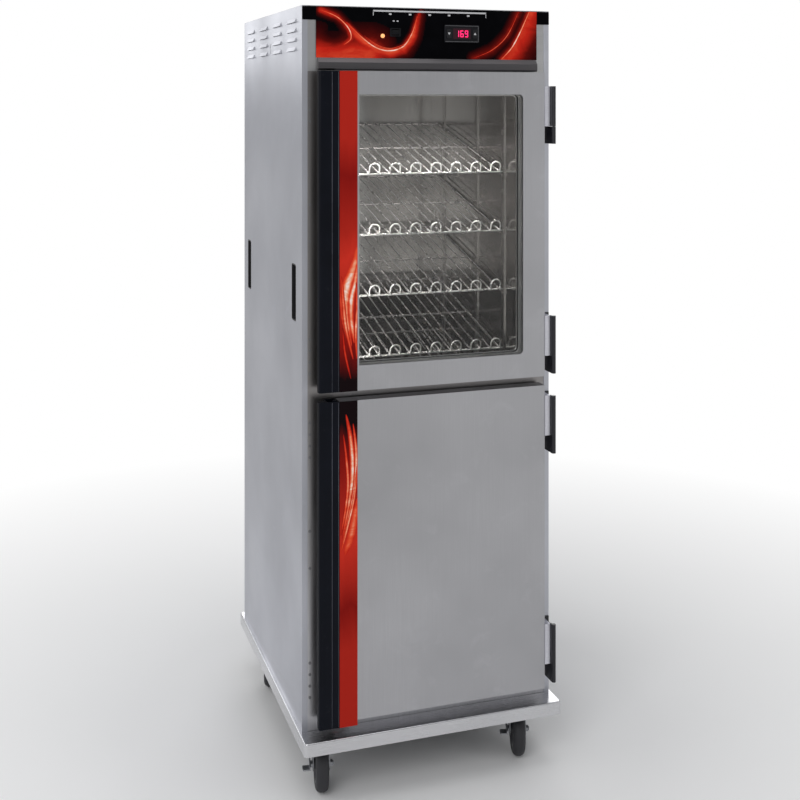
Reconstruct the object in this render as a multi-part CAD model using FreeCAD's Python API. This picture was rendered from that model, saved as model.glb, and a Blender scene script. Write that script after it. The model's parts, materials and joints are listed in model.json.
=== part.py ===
"""Insulated mobile food holding cabinet with a glazed upper door, a solid lower door,
a heated and fanned interior with sloping wire shelves, a control header and four swivel casters.

Every length is in millimetres. While the shapes are built, x = 0 is the middle of the cabinet, y = 0 is the
front plane of the body with +y going back, and z = 0 is the floor. save() then moves each piece back to the
cabinet's own frame, whose origin is on the floor under the middle of the bumper rectangle.
"""

import FreeCAD, Part
import math
import os

from FreeCAD import Vector

# ---- driving dimensions ------------------------------------------------------------------------------------
body_width = 658.0
body_depth = 712.0
overall_height = 1930.0
body_base_z = 164.0
sheet = 1.0
side_wall = 79.0
back_wall = 41.0

bumper_front_reach = 59.0
bumper_side_reach = 8.0
bumper_back_reach = 29.0
bumper_height = 32.0
bumper_wall = 3.0
bumper_corner_radius = 9.0
bumper_edge_radius = 3.0

interior_floor_z = 229.0
interior_ceiling_z = 1764.0
wall_front_y = 32.0

door_left = -298.0
door_right = 297.0
door_front_y = -44.0
door_back_y = -8.0
door_gasket_front_gap = 0.4
upper_door_bottom = 994.0
upper_door_top = 1770.0
lower_door_bottom = 196.0
lower_door_top = 971.0
lower_pull_bottom = 184.0

window_left = -197.0
window_right = 237.0
window_bottom = 1055.0
window_top = 1714.0
window_corner_radius = 12.0

pull_width = 51.0
accent_width = 45.0
accent_thickness = 2.2
pull_gasket_gap = 0.3
pull_groove_places = (32.0, 48.0)
pull_groove_width = 1.8

hinge_axis_x = 318.0
hinge_axis_y = -53.0
hinge_length = 147.0
hinge_fixed_length = 44.0
hinge_split_gap = 0.6
hinge_bottoms = {"door_upper": (1588.0, 1002.0), "door_lower": (798.0, 214.0)}

header_bottom_z = 1770.0
overlay_bottom_z = 1803.0
overlay_half_width = 294.0
overlay_cap_bottom_z = 1895.0
overlay_thickness = 1.6

shelf_pitch = 156.0
shelf_first_z = 1507.0
shelf_count = 8
upper_shelf_count = 4
shelf_slope = math.radians(14.0)
shelf_front_y = 110.0
shelf_run = 506.0
shelf_half_width = 244.5
loop_pitch = 56.0
loops_per_shelf = 9
loop_half_width = 13.5
loop_leg_height = 14.0
rod_radius = 1.9
cross_radius = 2.6
cross_rod_places = (7.0, 245.0, 500.0)
shelf_deck_length = 504.0
shelf_stop_gap = 0.2
shelf_rest_gap = 0.2
weld_depth = 0.7

caster_x = 266.0
caster_front_y = 70.0
caster_back_y = 642.0
caster_swivel = {"front_left": -10.0, "front_right": -17.0, "back_left": -14.0, "back_right": -6.0}
caster_total_height = 154.0
wheel_radius = 63.5
wheel_width = 32.0
caster_trail = 38.0

# ---- worked out from them ----------------------------------------------------------------------------------
half_width = body_width / 2
liner_half = half_width - side_wall
liner_back_y = body_depth - back_wall
insulation_top_z = interior_ceiling_z + sheet + 30.0
pull_right = door_left + pull_width
accent_right = pull_right + accent_width
middle_y = (body_depth + bumper_back_reach - bumper_front_reach) / 2
wire_rise = cross_radius + rod_radius - weld_depth


# ---- small helpers -----------------------------------------------------------------------------------------
def box(x0, x1, y0, y1, z0, z1):
    """A box between two values on each axis."""
    return Part.makeBox(x1 - x0, y1 - y0, z1 - z0, Vector(x0, y0, z0))


def rod(radius, start, end):
    """A round bar from one point to another."""
    along = end - start
    return Part.makeCylinder(radius, along.Length, start, along)


def tube(outer, inner, start, end):
    """A round bar with a hole along its length."""
    return rod(outer, start, end).cut(rod(inner, start, end))


def joined(shapes):
    """Several touching shapes as one solid."""
    whole = shapes[0].multiFuse(shapes[1:])
    return whole.removeSplitter()


def without(shape, tools):
    """A shape with every tool cut out of it."""
    for tool in tools:
        shape = shape.cut(tool)
    return shape


def group(shapes):
    """Separate solids that share one file."""
    solids = []
    for shape in shapes:
        solids.extend(shape.Solids)
    return Part.makeCompound(solids)


def prism(points, direction):
    """A flat outline pushed along a direction."""
    outline = Part.makePolygon(points + [points[0]])
    return Part.Face(outline).extrude(direction)


def plan_prism(points, z0, z1):
    """An outline seen from above, pushed up from z0 to z1."""
    return prism([Vector(x, y, z0) for x, y in points], Vector(0, 0, z1 - z0))


def side_prism(points, x0, x1):
    """An outline seen from the side, as (y, z) points, pushed along x."""
    return prism([Vector(x0, y, z) for y, z in points], Vector(x1 - x0, 0, 0))


def rounded_box(x0, x1, y0, y1, z0, z1, radius, axis):
    """A box whose four edges along one axis are rounded."""
    block = box(x0, x1, y0, y1, z0, z1)
    edges = []
    for edge in block.Edges:
        span = edge.Vertexes[1].Point - edge.Vertexes[0].Point
        if abs(span.dot(axis)) > 0.99 * span.Length:
            edges.append(edge)
    return block.makeFillet(radius, edges)


def hex_head(radius, height, centre, axis):
    """A hexagonal bolt head or nut."""
    placed = FreeCAD.Placement(centre, FreeCAD.Rotation(Vector(0, 0, 1), axis))
    corners = []
    for step in range(6):
        angle = math.radians(60 * step)
        corners.append(placed.multVec(Vector(radius * math.cos(angle), radius * math.sin(angle), 0)))
    return prism(corners, axis * height)


def mirrored(shape):
    """The same piece on the other side of the cabinet."""
    return shape.mirror(Vector(0, 0, 0), Vector(1, 0, 0))


def save(name, shape):
    """Move a piece into the cabinet's own frame and write it."""
    placed = shape.copy()
    placed.translate(Vector(0, -middle_y, 0))
    placed.exportStep("parts/" + name + ".step")


# ---- outer shell -------------------------------------------------------------------------------------------
louver_columns = (104.0, 269.0, 436.0, 610.0)
louver_rows = (1897.0, 1873.5, 1850.0, 1826.5)
louver_length = 102.0
louver_height = 10.0
louver_reach = 5.0
louver_mouth_height = 5.5
louver_end_margin = 3.0
grip_y_places = (84.0, 636.0)
grip_width = 46.0
grip_bottom_z = 1150.0
grip_height = 142.0
grip_depth = 34.0
grip_corner_radius = 8.0
front_return = 14.0
cord_slot = {"y": 353.0, "width": 4.0, "bottom": 1824.0, "top": 1851.0}
top_skirt = 18.0
top_skirt_inset = 4.0
vent_rows = 5
vent_first_z = 1815.0
vent_pitch = 14.0
vent_height = 4.0
vent_half_length = 120.0
inlet_x = 230.0
inlet_z = 1850.0
inlet_barrel = (16.0, 13.0)
inlet_hole_clearance = 1.0


def louver(y, z):
    """A pressed hood on the left side panel, open along its lower edge."""
    skin_x = -half_width
    hood = louver_wedge(y, z, skin_x, 0.0)
    hollow = louver_wedge(y, z, skin_x + sheet, sheet)
    return hood.cut(hollow)


def louver_wedge(y, z, skin_x, inset):
    """The wedge of a louver, lofted from its mouth outline so that its ends slope too."""
    half = louver_length / 2 - inset
    reach = louver_reach
    low = z - louver_height / 2
    high = z + louver_height / 2 - inset
    slope = louver_reach * 1.6
    mouth = [
        Vector(skin_x, y - half, low),
        Vector(skin_x - reach, y - half + slope, low),
        Vector(skin_x - reach, y + half - slope, low),
        Vector(skin_x, y + half, low),
    ]
    crest = [
        Vector(skin_x, y - half + slope, high),
        Vector(skin_x - 0.1, y - half + slope, high),
        Vector(skin_x - 0.1, y + half - slope, high),
        Vector(skin_x, y + half - slope, high),
    ]
    wires = [Part.makePolygon(points + [points[0]]) for points in (mouth, crest)]
    return Part.makeLoft(wires, True, True)


def louver_slot(y, z, x0, x1):
    """The opening through a sheet behind a louver, along the lower half of its hood."""
    half = louver_length / 2 - louver_end_margin
    low = z - louver_height / 2
    return box(x0, x1, y - half, y + half, low, low + louver_mouth_height)


def grip_block(y, depth, inset):
    """The space that a recessed hand grip fills in the left wall."""
    half = grip_width / 2 - inset
    return rounded_box(
        -half_width,
        -half_width + depth,
        y - half,
        y + half,
        grip_bottom_z + inset,
        grip_bottom_z + grip_height - inset,
        grip_corner_radius - inset,
        Vector(1, 0, 0),
    )


def side_panel():
    """Left outer sheet with its front return, louvers, grip holes and cord hook slot."""
    top = overall_height - sheet
    panel = joined(
        [
            box(-half_width, -half_width + sheet, 0, body_depth, body_base_z, top),
            box(-half_width, -half_width + front_return, 0, sheet, body_base_z, top),
        ]
    )
    panel = without(panel, [grip_block(y, sheet + 1, 0.0) for y in grip_y_places])
    half_slot = cord_slot["width"] / 2
    panel = panel.cut(box(
        -half_width - 1, -half_width + sheet + 1, cord_slot["y"] - half_slot, cord_slot["y"] + half_slot,
        cord_slot["bottom"], cord_slot["top"],
    ))
    hoods = []
    for y in louver_columns:
        for z in louver_rows:
            panel = panel.cut(louver_slot(y, z, -half_width - 1, -half_width + sheet + 1))
            hoods.append(louver(y, z))
    return joined([panel] + hoods)


def hand_grip(y):
    """A moulded pocket with a rim that stops at the outer sheet."""
    cup = grip_block(y, grip_depth, 0.3)
    pocket = grip_block(y, grip_depth - 3.0, 3.3)
    pocket.translate(Vector(-0.01, 0, 0))
    return cup.cut(pocket)


def top_panel():
    """The top sheet with a stiffening skirt along its front and back."""
    inner = half_width - 3 * sheet
    top_z = overall_height - sheet
    pieces = [box(-half_width, half_width, 0, body_depth, top_z, overall_height)]
    for y in (top_skirt_inset, body_depth - top_skirt_inset):
        pieces.append(box(-inner, inner, y - sheet / 2, y + sheet / 2, top_z - top_skirt, top_z))
    return joined(pieces)


def back_panel():
    """The back sheet with its vents and the hole for the power inlet."""
    inner = half_width - sheet
    front = body_depth - sheet - 1
    back = body_depth + 1
    panel = box(-inner, inner, body_depth - sheet, body_depth, body_base_z, overall_height - sheet)
    reach_x = inlet_barrel[0] + inlet_hole_clearance
    reach_z = inlet_barrel[1] + inlet_hole_clearance
    panel = panel.cut(rounded_box(
        inlet_x - reach_x, inlet_x + reach_x, front, back,
        inlet_z - reach_z, inlet_z + reach_z, 3.0, Vector(0, 1, 0),
    ))
    for row in range(vent_rows):
        z = vent_first_z + vent_pitch * row
        panel = panel.cut(box(-vent_half_length, vent_half_length, front, back, z, z + vent_height))
    return panel


def outer_shell():
    panel = side_panel()
    save("side_panel_left", panel)
    save("side_panel_right", mirrored(panel))
    save("hand_grips_left", group([hand_grip(y) for y in grip_y_places]))
    save("hand_grips_right", group([mirrored(hand_grip(y)) for y in grip_y_places]))
    save("top_panel", top_panel())
    save("back_panel", back_panel())


# ---- power inlet on the back -------------------------------------------------------------------------------
inlet_flange = (25.0, 20.0)
inlet_flange_thickness = 3.0
inlet_wall = 3.0
inlet_depth = 34.0
inlet_floor = 6.0
inlet_corner = 3.0
blade_places = ((-7.0, -3.0), (7.0, -3.0), (0.0, 4.0))
blade_half_width = 1.0
blade_half_height = 2.5
blade_tip_depth = 12.0


def inlet_block(half_sizes, front, back):
    """A rounded block centred on the inlet."""
    half_x, half_z = half_sizes
    return rounded_box(
        inlet_x - half_x, inlet_x + half_x, front, back, inlet_z - half_z, inlet_z + half_z,
        inlet_corner, Vector(0, 1, 0),
    )


def power_inlet():
    """A flanged inlet with three contact blades in its well."""
    face = body_depth + inlet_flange_thickness
    well_floor = body_depth - inlet_depth + inlet_floor
    flange = inlet_block(inlet_flange, body_depth + 0.1, face)
    barrel = inlet_block(inlet_barrel, body_depth - inlet_depth, body_depth + 1)
    well_half_sizes = [half - inlet_wall for half in inlet_barrel]
    well = inlet_block(well_half_sizes, well_floor, face + 1)
    blades = []
    for dx, dz in blade_places:
        x = inlet_x + dx
        z = inlet_z + dz
        blades.append(box(
            x - blade_half_width, x + blade_half_width, well_floor - 1, body_depth - blade_tip_depth,
            z - blade_half_height, z + blade_half_height,
        ))
    save("power_inlet", joined([joined([flange, barrel]).cut(well)] + blades))


# ---- base and bumper ---------------------------------------------------------------------------------------
def base_chassis():
    """A shallow steel pan that carries the body and the casters."""
    low = caster_total_height
    margin = 4.0
    pan = box(-half_width + margin, half_width - margin, margin, body_depth - margin, low, body_base_z)
    well = box(
        -half_width + margin + 3, half_width - margin - 3,
        margin + 3, body_depth - margin - 3, low + 3, body_base_z + 1,
    )
    save("base_chassis", pan.cut(well))


def edges_where(shape, wanted):
    """The edges whose middle point passes a test."""
    return [edge for edge in shape.Edges if wanted(edge)]


def bumper_side(length):
    """A side rail lying along x: an open-bottomed channel with a rounded outer top edge."""
    top = body_base_z
    low = top - bumper_height
    reach = bumper_side_reach
    block = box(-length / 2, length / 2, -reach, 0, low, top)
    rounded = edges_where(
        block, lambda edge: abs(edge.CenterOfMass.y + reach) < 0.01 and abs(edge.CenterOfMass.z - top) < 0.01
    )
    block = block.makeFillet(bumper_edge_radius, rounded)
    hollow = box(-length / 2 - 1, length / 2 + 1, -reach + bumper_wall, 1, low - 1, top - bumper_wall)
    return block.cut(hollow)


def bumper_end(reach):
    """A front or back rail: an open-bottomed tray whose two outer corners are rounded."""
    half = half_width + bumper_side_reach
    top = body_base_z
    low = top - bumper_height
    block = box(-half, half, -reach, 0, low, top)
    corners = edges_where(
        block, lambda edge: edge.BoundBox.ZLength > 10 and abs(edge.CenterOfMass.y + reach) < 0.01
    )
    block = block.makeFillet(bumper_corner_radius, corners)
    rim = edges_where(
        block, lambda edge: abs(edge.CenterOfMass.z - top) < 0.01 and edge.CenterOfMass.y < -0.01
    )
    block = block.makeFillet(bumper_edge_radius, rim)
    wall = bumper_wall
    hollow = rounded_box(
        -half + wall, half - wall, -reach + wall, wall, low - 1, top - wall,
        bumper_corner_radius - wall, Vector(0, 0, 1),
    )
    return block.cut(hollow)


def bumpers():
    front = bumper_end(bumper_front_reach)
    back = bumper_end(bumper_back_reach)
    back.rotate(Vector(0, 0, 0), Vector(0, 0, 1), 180)
    back.translate(Vector(0, body_depth, 0))

    side = bumper_side(body_depth - 0.4)
    side.rotate(Vector(0, 0, 0), Vector(0, 0, 1), -90)
    side.translate(Vector(-half_width, body_depth / 2, 0))
    save("bumpers", group([front, back, side, mirrored(side)]))


# ---- heated compartment ------------------------------------------------------------------------------------
motor_y = 400.0
fan_shaft_hole = 9.0
head_rail_bottom = 1744.0
middle_rail = (953.0, 1013.0)


def liner():
    """Five sheets that line the heated compartment."""
    wall = liner_half
    low = interior_floor_z
    high = interior_ceiling_z
    left = box(-wall - sheet, -wall, wall_front_y, liner_back_y, low, high)
    back = box(-wall - sheet, wall + sheet, liner_back_y + 0.1, liner_back_y + 0.1 + sheet, low - sheet, high)
    floor = box(-wall - sheet, wall + sheet, wall_front_y, liner_back_y, low - sheet, low - 0.1)
    ceiling = box(-wall - sheet, wall + sheet, wall_front_y, liner_back_y + sheet, high + 0.1, high + sheet)
    ceiling = ceiling.cut(rod(fan_shaft_hole, Vector(0, motor_y, high - 1), Vector(0, motor_y, high + 3)))
    save("liner_panels", group([left, mirrored(left), back, floor, ceiling]))


def insulation():
    """Five boards of mineral wool between the liner and the shell."""
    clear = 0.3
    outer = half_width - sheet - clear
    inner = liner_half + sheet + clear
    front = wall_front_y + clear
    back = liner_back_y + 2 * sheet + clear
    side = box(-outer, -inner, front, back - 2 * clear, body_base_z + clear, insulation_top_z)
    side = without(side, [grip_block(y, grip_depth + 1, -0.5) for y in grip_y_places])
    rear = box(-outer, outer, back, body_depth - sheet - clear, body_base_z + clear, insulation_top_z)
    floor = box(-inner + 1, inner - 1, front, back - 1, body_base_z + clear, interior_floor_z - sheet - clear)
    over = box(
        -inner + 1, inner - 1, front, back - 1, interior_ceiling_z + sheet + clear, insulation_top_z
    )
    over = over.cut(rod(
        fan_shaft_hole, Vector(0, motor_y, interior_ceiling_z), Vector(0, motor_y, insulation_top_z + 1)
    ))
    save("insulation_boards", group([side, mirrored(side), rear, floor, over]))


def door_frame():
    """The frame that the doors close on: two stiles and three rails."""
    front = sheet + 0.1
    back = wall_front_y - 0.3
    outer = half_width - sheet - 0.1
    inner = liner_half + 2.0
    stile = box(-outer, -inner, front, back, body_base_z, header_bottom_z - 0.2)
    save("frame_stiles", group([stile, mirrored(stile)]))

    span = inner - 0.2
    head = box(-span, span, front, back, head_rail_bottom, header_bottom_z - 0.2)
    middle = box(-span, span, front, back, *middle_rail)
    sill = box(-span, span, front, back, body_base_z, interior_floor_z + 1.0)
    save("frame_rails", group([head, middle, sill]))


frame_screw_x = 309.0
frame_screw_radius = 3.6
frame_screw_pitch = 28.0
latch_screw_heights = (1400.0, 605.0)
latch_screw_spacing = 90.0
screw_head_height = 1.2
cross_slot_half_length = 2.2
cross_slot_half_width = 0.5
cross_slot_depth = 0.6


def frame_screws():
    """Plug screws in the stile at each place where a hinge or catch could be fitted on the other hand."""
    heights = []
    for bottoms in hinge_bottoms.values():
        for bottom in bottoms:
            middle = bottom + hinge_length / 2
            heights.extend(middle + frame_screw_pitch * step for step in (-1.5, -0.5, 0.5, 1.5))
    screws = []
    for z in heights:
        screws.append(screw_plug(-frame_screw_x, z))
    for z in latch_screw_heights:
        for side in (-1, 1):
            for half in (-0.5, 0.5):
                screws.append(screw_plug(side * frame_screw_x, z + half * latch_screw_spacing))
    save("frame_screws", group(screws))


def screw_plug(x, z):
    """A low screw head with a cross slot."""
    front = sheet - screw_head_height
    head = rod(frame_screw_radius, Vector(x, sheet, z), Vector(x, front, z))
    long_half = cross_slot_half_length
    thin_half = cross_slot_half_width
    floor = front + cross_slot_depth
    level = box(x - long_half, x + long_half, front - 1, floor, z - thin_half, z + thin_half)
    upright = box(x - thin_half, x + thin_half, front - 1, floor, z - long_half, z + long_half)
    return without(head, [level, upright])


# ---- racks and shelves -------------------------------------------------------------------------------------
post_places = (112.0, 300.0, 560.0)
post_width = 18.0
post_thickness = 2.5
post_top_z = 1718.0
post_wall_gap = 0.4
support_radius = 3.0
support_bite = 0.4
support_front_overhang = 4.0


def shelf_height(index):
    """Height of a shelf's front cross rod."""
    return shelf_first_z - shelf_pitch * index


def rack_side():
    """Three flat uprights on the left wall with a sloping support rod for every shelf."""
    outer = -liner_half + post_wall_gap
    pieces = []
    for y in post_places:
        pieces.append(box(
            outer, outer + post_thickness, y - post_width / 2, y + post_width / 2,
            interior_floor_z + 0.1, post_top_z,
        ))
    x = outer + post_thickness + support_radius - support_bite
    fall = support_front_overhang * math.tan(shelf_slope)
    climb = shelf_run * math.tan(shelf_slope)
    drop = (cross_radius + support_radius + shelf_rest_gap) / math.cos(shelf_slope)
    for index in range(shelf_count):
        base = shelf_height(index) - drop
        start = Vector(x, shelf_front_y - support_front_overhang, base - fall)
        end = Vector(x, shelf_front_y + shelf_run, base + climb)
        pieces.append(rod(support_radius, start, end))
    return joined(pieces)


def racks():
    left = rack_side()
    save("racks", group([left, mirrored(left)]))


def shelf_deck():
    """The level deck of one wire shelf: cross rods with pairs of long wires welded on top."""
    pieces = []
    for place in cross_rod_places:
        pieces.append(rod(
            cross_radius, Vector(-shelf_half_width, place, 0), Vector(shelf_half_width, place, 0)
        ))
    for middle in loop_places():
        for x in (middle - loop_half_width, middle + loop_half_width):
            pieces.append(rod(
                rod_radius, Vector(x, shelf_stop_gap, wire_rise), Vector(x, shelf_deck_length, wire_rise)
            ))
    return joined(pieces)


def loop_places():
    """Where the middle of each front loop stands across a shelf."""
    first = -loop_pitch * (loops_per_shelf - 1) / 2
    return [first + loop_pitch * index for index in range(loops_per_shelf)]


def shelf_stop():
    """The stop along a shelf's front edge: one rod with an upright loop in front of each pair of wires."""
    y = -rod_radius - shelf_stop_gap
    pieces = [rod(rod_radius, Vector(-shelf_half_width, y, wire_rise), Vector(shelf_half_width, y, wire_rise))]
    for middle in loop_places():
        pieces.append(front_loop(middle, y))
    return joined(pieces)


def front_loop(middle, y):
    """Two legs joined by a half circle, swept as one wire."""
    left = middle - loop_half_width
    right = middle + loop_half_width
    shoulder = wire_rise + loop_leg_height
    crown = Vector(middle, y, shoulder + loop_half_width)
    path = Part.Wire([
        Part.makeLine(Vector(left, y, wire_rise), Vector(left, y, shoulder)),
        Part.Arc(Vector(left, y, shoulder), crown, Vector(right, y, shoulder)).toShape(),
        Part.makeLine(Vector(right, y, shoulder), Vector(right, y, wire_rise)),
    ])
    section = Part.Wire(Part.makeCircle(rod_radius, Vector(left, y, wire_rise), Vector(0, 0, 1)))
    return path.makePipeShell([section], True, False)


def shelves():
    level = [shelf_deck(), shelf_stop()]
    placed = []
    for index in range(shelf_count):
        for piece in level:
            copy = piece.copy()
            copy.rotate(Vector(0, 0, 0), Vector(1, 0, 0), math.degrees(shelf_slope))
            copy.translate(Vector(0, shelf_front_y, shelf_height(index)))
            placed.append(copy)
    pieces_above = upper_shelf_count * len(level)
    save("shelves_upper", group(placed[:pieces_above]))
    save("shelves_lower", group(placed[pieces_above:]))


# ---- fan, heater and baffle --------------------------------------------------------------------------------
baffle_z = 1724.0
fan_bottom_z = 1732.0
fan_height = 24.0
fan_radius = 84.0
fan_shaft_radius = 4.0
fan_bore_clearance = 0.05
element_radius = 4.0
element_ring_radius = 130.0
element_terminal_x = 22.0
element_seal_radius = 5.5
motor_can_radius = 42.0
motor_height = 62.0
motor_cap_radius = 26.0
motor_cap_height = 10.0
motor_plate_half = 60.0
motor_plate_thickness = 3.0
motor_core_half = 50.0
motor_core_span = (18.0, 44.0)
motor_shaft_lift = 3.0
blade_count = 12
blade_inner_radius = 30.0
blade_half_thickness = 0.75
blade_lean = 28.0
hub_radius = 13.0
baffle_inlet_radius = 64.0
baffle_slot_count = 8
baffle_slot_pitch = 70.0
baffle_slot_length = 44.0
baffle_slot_half_width = 4.0
baffle_slot_from_side = 24.0
baffle_first_slot_y = 90.0
baffle_side_gap = 12.0
baffle_front_gap = 6.0


def blower_motor():
    """A shaded-pole motor on the insulated ceiling, its shaft running down to the fan wheel."""
    low = insulation_top_z + 0.3
    half = motor_plate_half
    core = motor_core_half
    core_low, core_high = motor_core_span
    can_top = low + motor_height
    upward = Vector(0, 0, 1)
    on_axis = Vector(0, motor_y, 0)
    pieces = [
        rounded_box(
            -half, half, motor_y - half, motor_y + half, low, low + motor_plate_thickness, 8.0, upward
        ),
        rod(motor_can_radius, on_axis + upward * (low + 2), on_axis + upward * can_top),
        rod(
            motor_cap_radius, on_axis + upward * (can_top - 2), on_axis + upward * (can_top + motor_cap_height)
        ),
        rounded_box(
            -core, core, motor_y - core, motor_y + core, low + core_low, low + core_high, 10.0, upward
        ),
        rod(
            fan_shaft_radius,
            on_axis + upward * (fan_bottom_z + motor_shaft_lift), on_axis + upward * (low + 4),
        ),
    ]
    save("blower_motor", joined(pieces))


def fan_wheel():
    """A backward-curved impeller: hub, back plate and blades, with a bore for the motor shaft."""
    top = fan_bottom_z + fan_height
    below = Vector(0, motor_y, fan_bottom_z - 1)
    above = Vector(0, motor_y, top + 1)
    pieces = [
        rod(fan_radius, Vector(0, motor_y, top - 1.5), Vector(0, motor_y, top)),
        rod(hub_radius, Vector(0, motor_y, fan_bottom_z + 4), Vector(0, motor_y, top)),
    ]
    for index in range(blade_count):
        blade = box(
            blade_inner_radius, fan_radius - 2, -blade_half_thickness, blade_half_thickness,
            fan_bottom_z, top - 1,
        )
        blade.rotate(Vector(blade_inner_radius, 0, 0), Vector(0, 0, 1), blade_lean)
        blade.rotate(Vector(0, 0, 0), Vector(0, 0, 1), 360 / blade_count * index)
        blade.translate(Vector(0, motor_y, 0))
        pieces.append(blade)
    bore = rod(fan_shaft_radius + fan_bore_clearance, below, above)
    outside = tube(fan_radius + 20, fan_radius, below, above)
    save("fan_wheel", without(joined(pieces), [bore, outside]))


def heating_element():
    """A sheathed tube bent round the fan, with two terminals up through the ceiling."""
    z = fan_bottom_z + fan_height / 2
    reach = element_terminal_x
    ring = Part.makeTorus(element_ring_radius, element_radius, Vector(0, motor_y, z), Vector(0, 0, 1))
    gap = box(-reach, reach, motor_y, motor_y + 2 * element_ring_radius, z - 10, z + 10)
    foot_y = motor_y + math.sqrt(element_ring_radius ** 2 - reach ** 2)
    pieces = [ring.cut(gap)]
    for x in (-reach, reach):
        foot = Vector(x, foot_y, z)
        pieces.append(Part.makeSphere(element_seal_radius, foot))
        pieces.append(rod(element_radius, foot, Vector(x, foot_y, interior_ceiling_z - 0.2)))
    save("heating_element", joined(pieces))


def air_baffle():
    """A hung ceiling under the fan, with an inlet ring and slots along both sides."""
    side = liner_half - baffle_side_gap
    front = wall_front_y + baffle_front_gap
    back = liner_back_y - baffle_side_gap
    below = baffle_z - 1
    above = baffle_z + sheet + 1
    plate = box(-side, side, front, back, baffle_z, baffle_z + sheet)
    plate = plate.cut(rod(baffle_inlet_radius, Vector(0, motor_y, below), Vector(0, motor_y, above)))
    half = baffle_slot_half_width
    slot_x = side - baffle_slot_from_side
    for step in range(baffle_slot_count):
        y = baffle_first_slot_y + baffle_slot_pitch * step
        for x in (-slot_x, slot_x):
            plate = plate.cut(box(x - half, x + half, y, y + baffle_slot_length, below, above))
    hangers = [
        box(-side, side, y, y + sheet, baffle_z, interior_ceiling_z - 0.2) for y in (front, back - sheet)
    ]
    save("air_baffle", joined([plate] + hangers))


# ---- header and controls -----------------------------------------------------------------------------------
switch_case_half = (12.0, 8.5)
controller_case_inset = (4.2, 3.2)
controller_x = 85.0
controller_z = 1867.0
controller_width = 94.0
controller_height = 45.0
controller_face_y = -7.0
display_width = 48.0
display_height = 27.0
key_width = 13.0
key_height = 22.0
key_places = {"key_down": -35.0, "key_up": 35.0}
switch_x = -91.0
switch_z = 1868.0
switch_width = 28.0
switch_height = 21.0
lamp_x = -124.0
lamp_z = 1858.5
lamp_radius = 4.2
lamp_rim_width = 1.0
lamp_barrel_radius = 3.2
lamp_barrel_depth = 18.0
lamp_dome_radius = 5.6
header_sheet = 1.2
header_fold_depth = 30.0
header_top_z = 1928.8
cheek_gap = 0.1
cheek_back_gap = 2.0
controller_case_depth = 68.0
controller_corner = 3.0
display_recess = 2.4
display_gap = 0.2
key_gap = 0.35
key_well_depth = 4.5
key_proud = 1.2
key_back = 2.6
visor_half_length = 291.0
visor_reach = 13.0
visor_lip = 4.0


def control_cutouts(clearance):
    """The holes that the controller, switch and lamp need through the header."""
    front = -overlay_thickness - 1
    back = 3.0
    case_x = controller_width / 2 - controller_case_inset[0] + clearance
    case_z = controller_height / 2 - controller_case_inset[1] + clearance
    switch_reach_x = switch_case_half[0] + clearance
    switch_reach_z = switch_case_half[1] + clearance
    return [
        box(
            controller_x - case_x, controller_x + case_x, front, back,
            controller_z - case_z, controller_z + case_z,
        ),
        box(
            switch_x - switch_reach_x, switch_x + switch_reach_x, front, back,
            switch_z - switch_reach_z, switch_z + switch_reach_z,
        ),
        rod(lamp_barrel_radius + clearance, Vector(lamp_x, front, lamp_z), Vector(lamp_x, back, lamp_z)),
    ]


def header_cheek():
    """The inner sheet behind the louvers on the left, with a leg down the front as far as the stile."""
    outer = -half_width + sheet + cheek_gap
    inner = outer + header_sheet
    front = sheet + 0.1 + header_sheet + 0.1
    low = insulation_top_z + 0.3
    cheek = joined([
        box(outer, inner, front, body_depth - sheet - cheek_back_gap, low, header_top_z),
        box(outer, inner, front, wall_front_y - 0.5, header_bottom_z + header_sheet + 0.1, low + 1),
    ])
    slots = [louver_slot(y, z, outer - 1, inner + 1) for y in louver_columns for z in louver_rows]
    return without(cheek, slots)


def control_header():
    """The folded front sheet of the control compartment, its two cheeks and the printed panel."""
    reach = half_width - sheet - cheek_gap
    front = sheet + 0.1
    face = box(-reach, reach, front, front + header_sheet, header_bottom_z, header_top_z)
    fold = box(-reach, reach, front, header_fold_depth, header_bottom_z, header_bottom_z + header_sheet)
    sheet_front = without(joined([face, fold]), control_cutouts(0.5))
    cheek = header_cheek()
    save("control_panel", group([sheet_front, cheek, mirrored(cheek)]))

    overlay_front = -overlay_thickness
    top = overall_height - 2.0
    lower = box(-overlay_half_width, overlay_half_width, overlay_front, 0, overlay_bottom_z, top)
    cap = rounded_box(
        -half_width, half_width, overlay_front, 0, overlay_cap_bottom_z, top, 2.0, Vector(0, 1, 0)
    )
    overlay = joined([lower, cap])
    save("control_overlay", without(overlay, control_cutouts(0.4)))


def drip_visor():
    """A folded sheet lip, closed at both ends, between the printed panel and the upper door."""
    half = visor_half_length
    reach = visor_reach
    top = overlay_bottom_z - 0.4
    low = header_bottom_z + 2.5
    outside = [
        (0.0, top),
        (-3.0, top),
        (-reach, top - 11),
        (-reach, low + visor_lip),
        (visor_lip - reach, low),
    ]
    inside = [
        (visor_lip - reach + 1, low + 1),
        (header_sheet - reach, low + visor_lip + 0.6),
        (header_sheet - reach, top - 11.6),
        (header_sheet - 3.8, top - 1.4),
        (-header_sheet, top - 1.4),
        (-header_sheet, low + 8),
        (0.0, low + 8),
    ]
    pieces = [side_prism(outside + inside, -half, half)]
    for x in (-half, half - header_sheet):
        pieces.append(side_prism(outside + [(0.0, low + 8)], x, x + header_sheet))
    save("drip_visor", joined(pieces))


def controller_block(half_x, half_z, y0, y1, offset=0.0):
    """A block centred on the thermostat, or beside its centre by an offset along x."""
    x = controller_x + offset
    return box(x - half_x, x + half_x, y0, y1, controller_z - half_z, controller_z + half_z)


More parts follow.
